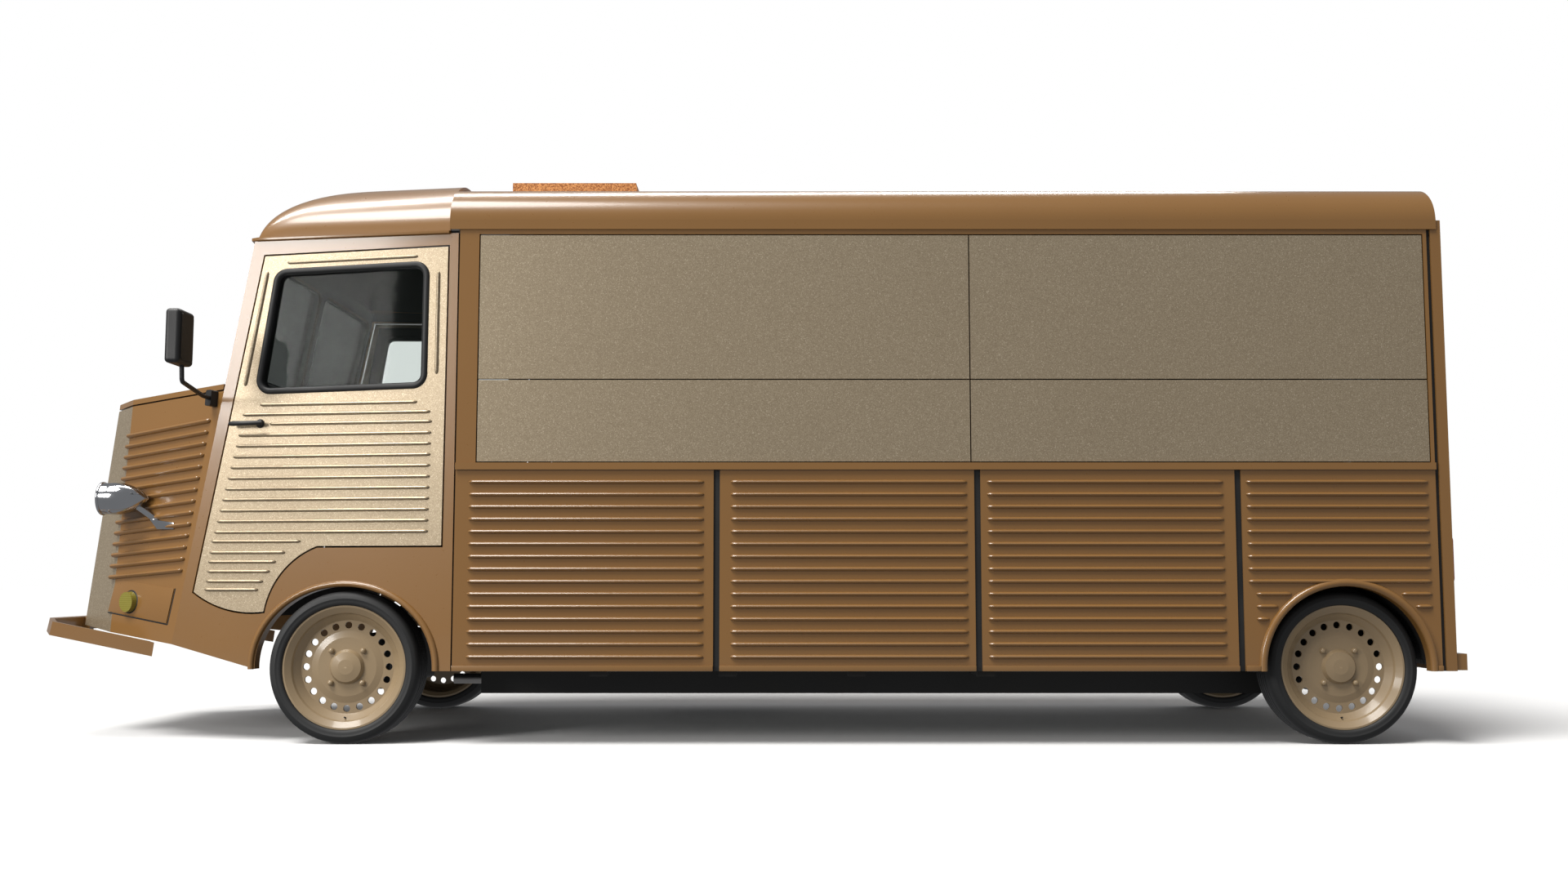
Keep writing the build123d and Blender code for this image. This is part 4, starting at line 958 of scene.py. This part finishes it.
piece("lamp_rims", rims, "chrome")
piece("lamp_glasses", glasses, "clear_glass")
piece("lamp_brackets", brackets, "chrome", rounding=0.003)

# Radiator behind the grille
grille_low, grille_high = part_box("grille")
core = Shape()
core_x = grille_high.x + 0.03
lean = 0.12
for n in range(48):
    z = grille_low.z + (grille_high.z - grille_low.z) * (n + 0.5) / 48
    x = core_x - (grille_high.z - z) * 0.0 + (z - grille_low.z) * lean
    core.block((x, grille_low.y + 0.03, z - 0.0018), (x + 0.018, grille_high.y - 0.03, z + 0.0018))
core_back = Shape()
back_low, back_high = core_x + 0.019, core_x + 0.029
shift = (grille_high.z - grille_low.z) * lean
lower = [
    (back_low, grille_low.y + 0.02, grille_low.z), (back_high, grille_low.y + 0.02, grille_low.z),
    (back_high, grille_high.y - 0.02, grille_low.z), (back_low, grille_high.y - 0.02, grille_low.z)
]
core_back.loft([lower, [(x + shift, y, grille_high.z) for x, y, z in lower]])
piece("radiator_fins", core, "chassis_black")
piece("radiator_back", core_back, "chassis_black")

# ---------------------------------------------------------------- windscreen
screen_foot = Vector((crease_x(1.461), 0, 1.461))
screen_up = Vector((crease_slope, 0, 1)).normalized()
screen_out = Vector((-screen_up.z, 0, screen_up.x))
screen_height = (cab_top_z - 1.461) / screen_up.z
foot_half = half_width - (cab_rear_x - crease_x(1.461)) * tan(taper) - 0.062
top_half = half_width - (cab_rear_x - crease_x(cab_top_z)) * tan(taper) - 0.062
pane = [
    (0.030, 0.055), (foot_half, 0.055), (top_half, screen_height - 0.062),
    (0.030, screen_height - 0.062)
]


def screen_point(u, v):
    return screen_foot + Vector((0, u, 0)) + screen_up * v


screen_seals = Shape()
for side in SIDES.values():
    outline = rounded_outline([(u * side, v) for u, v in pane], 0.055, grow=0.005)
    screen_seals.bead(
        [screen_point(u, v) for u, v in outline], screen_out, 0.012, 0.008, looped=True,
        round_steps=8
    )
    slim = rounded_outline([(u * side, v) for u, v in pane], 0.055, grow=-0.008)
    wide = rounded_outline([(u * side, v) for u, v in pane], 0.055, grow=-0.001)
    tunnel = [
        [screen_point(u, v) - screen_out * d for u, v in loop] for loop,
        d in ((wide, 0), (wide, 0.04), (slim, 0.04), (slim, 0))
    ]
    screen_seals.loft(tunnel, looped=True)
piece("screen_seals", screen_seals, "rubber_black")

screen_place = Matrix(
    (
        (0, screen_up.x, screen_out.x, 0), (1, 0, 0, 0), (0, screen_up.z, screen_out.z, 0),
        (0, 0, 0, 1)
    )
)
screen_place.translation = screen_foot - screen_out * 0.0428
surround = [
    (-foot_half - 0.050, 0.0), (foot_half + 0.050, 0.0), (top_half + 0.050, screen_height),
    (-top_half - 0.050, screen_height)
]
holes = [
    rounded_outline([(u * side, v) for u, v in pane], 0.055, grow=0.003) for side in SIDES.values()
]
piece("screen_lining", sheet_mesh([surround] + holes, 0.004, screen_place, 0.0005), "black_plastic")

wipers = Shape()
for side in SIDES.values():
    pivot = screen_point(side * 0.30, 0.030)
    wipers.turned(
        [(0.0, 0.016), (0.008, 0.014), (0.010, 0.004), (0.014, -0.001)], pivot, screen_out, 20
    )
    tip = screen_point(side * 0.48, 0.165) + screen_out * 0.016
    wipers.tube(
        [pivot + screen_out * 0.012, pivot.lerp(tip, 0.4) + screen_out * 0.014, tip],
        [0.0045, 0.0035, 0.003], 8
    )
    blade_low = screen_point(side * 0.36, 0.095) + screen_out * 0.011
    blade_high = screen_point(side * 0.62, 0.235) + screen_out * 0.011
    wipers.tube(
        [blade_low, blade_low.lerp(blade_high, 0.5) + screen_out * 0.004, blade_high], 0.004, 8
    )
piece("wipers", wipers, "black_plastic")

# ---------------------------------------------------------------- mirrors
head_low_z, head_high_z = 1.490, 1.704
faces_shape = Shape()
for side in SIDES.values():
    inner, outer = sorted((side * 1.126, side * 1.244))
    outline = rounded_outline(
        [
            (inner, head_low_z + 0.016), (outer, head_low_z + 0.016), (outer, head_high_z - 0.016),
            (inner, head_high_z - 0.016)
        ],
        0.012, 5
    )
    front_x = front_axle.x - 0.606 + 0.030
    faces_shape.loft(
        [
            [(front_x - 0.002, y, z) for y, z in outline],
            [(front_x + 0.0015, y, z) for y, z in outline]
        ]
    )
piece("mirror_faces", faces_shape, "black_plastic")

# ---------------------------------------------------------------- wheels
lug_offset = 0.064
lug_profile = [
    (0.0115, -0.002), (0.0115, 0.006), (0.0105, 0.011), (0.0075, 0.0148), (0.003, 0.0165),
    (0.0, 0.0168)
]
half_tread = 0.066
groove_centres = (-0.040, -0.0135, 0.0135, 0.040)
groove_half = 0.0035
groove_depth = 0.006


def tyre_profile():
    """Closed half-section of a road tyre with four grooves and rings on its walls."""
    radius = tyre_radius
    points = [(radius - 0.004, -half_tread)]
    for centre in groove_centres:
        points += [
            (radius, centre - groove_half - 0.001),
            (radius - groove_depth, centre - groove_half + 0.0008)
        ]
        points += [
            (radius - groove_depth, centre + groove_half - 0.0008),
            (radius, centre + groove_half + 0.001)
        ]
    wall = [
        (-0.002, 0.0665), (-0.0035, 0.074), (-0.009, 0.0855), (-0.018, 0.0922), (-0.027, 0.0942),
        (-0.0285, 0.0950), (-0.0315, 0.0950)
    ]
    wall += [
        (-0.033, 0.0940), (-0.042, 0.0942), (-0.050, 0.0925), (-0.0545, 0.0890), (-0.0560, 0.086),
        (-0.0560, 0.077), (-0.071, 0.064)
    ]
    right = [(radius + r, y) for r, y in wall]
    points += right
    points += [(r, -y) for r, y in reversed(right)][:-1]
    return points


for axle, axle_name in ((front_axle, "front"), (rear_axle, "rear")):
    for label, side in SIDES.items():
        wheel = f"wheel_{axle_name}_{label}"
        centre = Vector((axle.x, side * abs(axle.y), axle.z))
        spin = Vector((0, side, 0))
        tyre = piece(
            f"road_tyre_{axle_name}_{label}",
            Shape().turned(tyre_profile(), centre, spin, 120, looped=True), "tyre_black", wheel
        )
        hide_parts(f"tyre_{axle_name}_{label}")
        lugs = Shape()
        for dx in (-lug_offset, lug_offset):
            for dz in (-lug_offset, lug_offset):
                lugs.turned(lug_profile, centre + Vector((dx, side * 0.0385, dz)), spin, 20)
        piece(f"wheel_nuts_{axle_name}_{label}", lugs, "rim_beige", wheel)
        valve = Shape()
        valve.tube(
            [
                centre + Vector((0.0, side * 0.040, -0.203)),
                centre + Vector((0, side * 0.060, -0.199))
            ],
            [0.0035, 0.0028], 10
        )
        piece(f"valve_{axle_name}_{label}", valve, "rubber_black", wheel)

# ---------------------------------------------------------------- rear end
rear_x = rear_high.x
for label, side in SIDES.items():
    door = f"rear_door_{label}"
    low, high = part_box(door)
    ribs = Shape()
    inner, outer = sorted((side * 0.085, side * 0.800))
    for row in range(rib_rows):
        z = 1.130 - row * rib_pitch
        if z > low.z + 0.03:
            ribs.bead(
                [(rear_x, inner, z), (rear_x, outer, z)], (1, 0, 0), rib_half, rib_height,
                taper=0.026
            )
    piece(f"rear_door_ribs_{label}", ribs, "ochre_paint", door)
    straps = Shape()
    for z in (low.z + 0.10, high.z - 0.14):
        edge = side * 0.8865
        straps.tube(
            [(rear_x + 0.006, edge, z - 0.032), (rear_x + 0.006, edge, z + 0.032)], 0.0055, 14
        )
        a, b = sorted((edge - side * 0.006, edge - side * 0.060))
        straps.block((rear_x, a, z - 0.024), (rear_x + 0.0045, b, z + 0.024))
    piece(f"rear_door_hinges_{label}", straps, "ochre_paint", door, rounding=0.0012)

latch = Shape()
latch.tube(
    [
        (rear_x + 0.004, -0.040, 1.150), (rear_x + 0.030, -0.040, 1.150),
        (rear_x + 0.034, -0.050, 1.150), (rear_x + 0.034, -0.165, 1.150)
    ],
    [0.010, 0.009, 0.008, 0.007], 14
)
piece("rear_door_handle", latch, "black_plastic", "rear_door_left")
plate_mesh = Shape().block((rear_x, -0.640, 0.430), (rear_x + 0.004, -0.120, 0.540))
piece("number_plate", plate_mesh, "floor_plate", "rear_door_left", rounding=0.0015)
lift = Shape()
lift.tube(
    [
        (rear_x, -0.075, 1.262), (rear_x + 0.030, -0.070, 1.262), (rear_x + 0.030, 0.070, 1.262),
        (rear_x, 0.075, 1.262)
    ],
    0.008, 14
)
piece("tailgate_handle", lift, "black_plastic", "tailgate")
tail_ribs = Shape()
for z in (1.330, 1.380, 1.430):
    tail_ribs.bead(
        [(rear_x, -0.80, z), (rear_x, 0.80, z)], (1, 0, 0), rib_half, rib_height, taper=0.026
    )
for y in (-0.80, -0.70, -0.60, 0.60, 0.70, 0.80):
    tail_ribs.bead([(rear_x, y, 1.50), (rear_x, y, 1.93)], (1, 0, 0), 0.0075, 0.0085, taper=0.02)
tail_ribs.bead(
    [(rear_x, -0.50, 1.900), (rear_x, 0.50, 1.900)], (1, 0, 0), 0.0075, 0.0085, taper=0.02
)
piece("tailgate_ribs", tail_ribs, "beige_metallic", "tailgate")
gate_seal = Shape()
gate_outline = rounded_outline(
    [(-0.430, 1.480), (0.430, 1.480), (0.430, 1.800), (-0.430, 1.800)], 0.050, grow=0.006
)
gate_seal.bead(
    [(rear_x, y, z) for y, z in gate_outline], (1, 0, 0), 0.012, 0.008, looped=True, round_steps=8
)
gate_seal.bead(
    [(rear_x - 0.036, y, z) for y, z in gate_outline], (-1, 0, 0), 0.012, 0.006, looped=True,
    round_steps=8
)
piece("tailgate_seal", gate_seal, "rubber_black", "tailgate")
gate_hinges = Shape()
for y in (-0.60, 0.60):
    gate_hinges.tube(
        [(rear_x + 0.006, y - 0.035, 1.9835), (rear_x + 0.006, y + 0.035, 1.9835)], 0.0055, 14
    )
    gate_hinges.block((rear_x, y - 0.026, 1.930), (rear_x + 0.0045, y + 0.026, 1.978))
piece("tailgate_hinges", gate_hinges, "ochre_paint", "tailgate", rounding=0.0012)

lamp_bezels = Shape()
for side in SIDES.values():
    y0 = side * 0.945
    outline = rounded_outline(
        [(y0 - 0.035, 0.640), (y0 + 0.035, 0.640), (y0 + 0.035, 0.830), (y0 - 0.035, 0.830)], 0.022,
        grow=0.002
    )
    lamp_bezels.bead([(rear_x, y, z) for y, z in outline], (1, 0, 0), 0.0055, 0.007, looped=True)
piece("tail_lamp_bezels", lamp_bezels, "chrome")

# ---------------------------------------------------------------- hatches: inner frames, seen when open
for node in ("upper_hatch_front", "upper_hatch_rear", "lower_hatch_front", "lower_hatch_rear"):
    low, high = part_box(node)
    inner = high.y
    frame_bars = Shape()
    inset, bar, depth = 0.055, 0.040, 0.014
    x0, x1, z0, z1 = low.x + inset, high.x - inset, low.z + inset * 0.6, high.z - inset * 0.6
    frame_bars.block((x0, inner, z0), (x1, inner + depth, z0 + bar))
    frame_bars.block((x0, inner, z1 - bar), (x1, inner + depth, z1))
    for x in (x0, (x0 + x1) / 2 - bar / 2, x1 - bar):
        frame_bars.block((x, inner, z0 + bar), (x + bar, inner + depth, z1 - bar))
    piece(f"{node}_frame", frame_bars, "steel", node, rounding=0.002)

# ---------------------------------------------------------------- cab inside
column = radians(50)
wheel_axis = Vector((sin(column), 0, cos(column)))
driver_y, column_top_z = -0.400, 1.225
wheel_centre = Vector((front_axle.x - 0.265, driver_y, column_top_z))
horn = Shape().turned(
    [(0.0, 0.020), (0.022, 0.018), (0.034, 0.012), (0.040, 0.007), (0.041, 0.004)], wheel_centre,
    wheel_axis, 32
)
piece("horn_button", horn, "black_plastic")
dash_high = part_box("dashboard")[1]
pod = Shape()
pod_axis = Vector((0.8, 0, 0.6))
pod_centre = Vector((dash_high.x - 0.028, driver_y, dash_high.z - 0.004))
pod.turned(
    [
        (0.0, -0.055), (0.078, -0.055), (0.082, -0.01), (0.082, 0.020), (0.077, 0.024),
        (0.074, 0.018), (0.0, 0.018)
    ],
    pod_centre, pod_axis, 40
)
piece("gauge_pod", pod, "black_plastic")
dial = Shape().turned([(0.0, 0.0190), (0.072, 0.0190), (0.072, 0.0180)], pod_centre, pod_axis, 40)
piece("gauge_dial", dial, "steel")

seat_y = 0.400


def cushion_cage(size, crown, rows=(6, 6)):
    """Crowned pad as a closed cage: sides pulled in between the corners, top raised in the middle."""
    sx, sy, sz = size
    nx = 14
    shape = Shape()
    rings = []
    for level, spread in ((-0.5, 0.90), (-0.34, 1.0), (0.30, 1.0), (0.44, 0.965)):
        ring = []
        for k in range(4 * nx):
            edge, part = divmod(k, nx)
            t = part / nx * 2 - 1
            waist = 1 - 0.022 * (1 - t * t)
            u, v = {0: (t, -waist), 1: (waist, t), 2: (-t, waist), 3: (-waist, -t)}[edge]
            corner = 1 - 0.055 * (abs(u) * abs(v)) ** 6
            ring.append((u * sx / 2 * spread * corner, v * sy / 2 * spread * corner, level * sz))
        rings.append(ring)
    for shrink, rise in ((0.86, 0.50), (0.62, 0.50 + crown * 0.6), (0.32, 0.50 + crown * 0.92)):
        rings.append([(x * shrink / 0.965, y * shrink / 0.965, rise * sz) for x, y, z in rings[3]])
    shape.loft(rings)
    return shape


def soft_pad(name, size, place, crown, cap):
    """One padded piece: cage, remesh, pressure by cloth simulation, capped travel, then sewn channels."""
    cage = cushion_cage(size, crown)
    mesh = bpy.data.meshes.new(name)
    mesh.from_pydata([tuple(p) for p in cage.points], [], cage.faces)
    work = bmesh.new()
    work.from_mesh(mesh)
    bmesh.ops.recalc_face_normals(work, faces=work.faces)
    work.to_mesh(mesh)
    work.free()
    pad = bpy.data.objects.new(name, mesh)
    scene.collection.objects.link(pad)
    pad.modifiers.new("remesh", "REMESH").mode = "VOXEL"
    pad.modifiers["remesh"].voxel_size = 0.006
    apply_modifiers(pad)
    rest = [v.co.copy() for v in pad.data.vertices]
    cloth = pad.modifiers.new("cloth", "CLOTH")
    cloth.settings.use_pressure = True
    cloth.settings.uniform_pressure_force = 4.0
    cloth.settings.effector_weights.gravity = 0.0
    cloth.settings.quality = 4
    cloth.settings.tension_stiffness = 20
    cloth.settings.compression_stiffness = 20
    cloth.collision_settings.use_collision = False
    for step in range(1, 21):
        scene.frame_set(step)
    apply_modifiers(pad)
    scene.frame_set(1)
    for vertex, start in zip(pad.data.vertices, rest):
        travel = vertex.co - start
        if travel.length > cap:
            vertex.co = start + travel.normalized() * cap
    half_x, half_y, half_z = (d / 2 for d in size)
    for vertex in pad.data.vertices:
        co = vertex.co
        top = max(0.0, min(1.0, (co.z + half_z * 0.3) / (half_z * 1.2)))
        for line in (-0.5, 0.0, 0.5):
            gap = abs(co.y - line * half_y) / 0.011
            reach = 1 - abs(co.x) / (half_x * 0.80)
            if gap < 3 and reach > 0:
                co.z -= 0.0075 * top * min(1.0, reach * 5) * 2.718 ** (-gap * gap)
    pad.modifiers.new("finer", "SUBSURF").levels = 1
    apply_modifiers(pad)
    pad.data.transform(place)
    for face in pad.data.polygons:
        face.use_smooth = True
    return pad


def apply_modifiers(thing):
    """Bakes an object's modifiers into its mesh."""
    depsgraph = bpy.context.evaluated_depsgraph_get()
    baked = bpy.data.meshes.new_from_object(thing.evaluated_get(depsgraph))
    thing.modifiers.clear()
    thing.data = baked


def settle(pad, twin_name, twin_y):
    """Gives a pad its leather and its body, adds its twin for the other seat, and hides the CAD seat pads."""
    for each in (pad, pad.copy()):
        if each is not pad:
            each.data = pad.data.copy()
            each.name = twin_name
            each.data.transform(Matrix.Translation((0, twin_y, 0)))
            scene.collection.objects.link(each)
        each.data.materials.clear()
        each.data.materials.append(finishes["seat_leather"])
        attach(each, BODY)
        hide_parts("seat_pads")


cushion_x = front_axle.x - 0.190 + 0.220
cushion_place = Matrix.Translation((cushion_x, -seat_y, 0.9485))
cushion = soft_pad("seat_cushion_left", (0.428, 0.448, 0.086), cushion_place, 0.10, 0.012)
settle(cushion, "seat_cushion_right", 2 * seat_y)
back_lean = radians(12)
back_normal = Vector((-cos(back_lean), 0, sin(back_lean)))
back_up = Vector((sin(back_lean), 0, cos(back_lean)))
back_origin = Vector(
    (
        front_axle.x - 0.190 + 0.440 - 0.080 - 0.012, -seat_y,
        0.900 + 0.095 + 0.080 * sin(back_lean) + 0.009
    )
)
back_centre = back_origin + back_up * 0.215 - back_normal * 0.040
back_place = Matrix((
    (back_up.x, 0, back_normal.x, back_centre.x), (0, -1, 0, back_centre.y),
    (back_up.z, 0, back_normal.z, back_centre.z), (0, 0, 0, 1),
))
back = soft_pad("seat_back_left", (0.418, 0.446, 0.070), back_place, 0.12, 0.010)
settle(back, "seat_back_right", 2 * seat_y)

# ---------------------------------------------------------------- studio
floor_mesh = bpy.data.meshes.new("studio_floor")
floor_reach, floor_back = 60, 90
floor_corners = [(-floor_reach, -floor_reach, 0), (floor_reach, -floor_reach, 0)]
floor_corners += [(floor_reach, floor_back, 0), (-floor_reach, floor_back, 0)]
floor_mesh.from_pydata(floor_corners, [], [(0, 1, 2, 3)])
floor = bpy.data.objects.new("studio_floor", floor_mesh)
scene.collection.objects.link(floor)
floor_mesh.materials.append(studio_floor("studio_floor"))
floor.visible_diffuse = False
floor.visible_glossy = False

# White to the eye, and a weaker soft light on the truck
world = bpy.data.worlds.new("studio")
world.use_nodes = True
sky = world.node_tree
backdrop = sky.nodes["Background"]
backdrop.inputs["Color"].default_value = (1.0, 1.0, 1.0, 1)
backdrop.inputs["Strength"].default_value = 1.0
ambient = sky.nodes.new("ShaderNodeBackground")
ambient.inputs["Color"].default_value = (0.97, 0.98, 1.0, 1)
ambient.inputs["Strength"].default_value = 0.30
seen = sky.nodes.new("ShaderNodeLightPath")
pick = sky.nodes.new("ShaderNodeMixShader")
sky.links.new(seen.outputs["Is Camera Ray"], pick.inputs[0])
sky.links.new(ambient.outputs[0], pick.inputs[1])
sky.links.new(backdrop.outputs[0], pick.inputs[2])
sky.links.new(pick.outputs[0], sky.nodes["World Output"].inputs["Surface"])
scene.world = world


def soft_light(name, place, target, size, power, tint=(1.0, 0.98, 0.95)):
    """Rectangular studio lamp aimed at a point."""
    lamp = bpy.data.lights.new(name, "AREA")
    lamp.shape = "RECTANGLE"
    lamp.size, lamp.size_y = size
    lamp.energy = power
    lamp.color = tint
    holder = bpy.data.objects.new(name, lamp)
    holder.location = place
    holder.rotation_euler = (Vector(target) - Vector(place)).to_track_quat("-Z", "Y").to_euler()
    scene.collection.objects.link(holder)
    return holder


strip = soft_light("roof_strip", (-0.8, 1.3, 6.2), (0.3, -0.9, 2.2), (10.0, 0.7), 520.0)
strip.visible_diffuse = False
soft_light("key", (-6.5, -6.5, 3.2), (-0.5, -1.0, 1.2), (2.5, 2.5), 330.0)
daylight = bpy.data.lights.new("daylight", "SUN")
daylight.energy = 3.3
daylight.angle = radians(28)
daylight.color = (1.0, 0.985, 0.96)
sun = bpy.data.objects.new("daylight", daylight)
sun.rotation_euler = Vector((-0.34, -0.36, 0.87)).to_track_quat("Z", "Y").to_euler()
scene.collection.objects.link(sun)

camera = bpy.data.cameras.new("camera")
camera.lens = 35.0
camera.sensor_width = 36.0
viewer = bpy.data.objects.new("camera", camera)
viewer.location = (0.1972, -7.0944, 0.6494)
viewer.rotation_euler = (radians(95.24), 0, 0)
scene.collection.objects.link(viewer)
scene.camera = viewer
scene.view_settings.view_transform = "Standard"
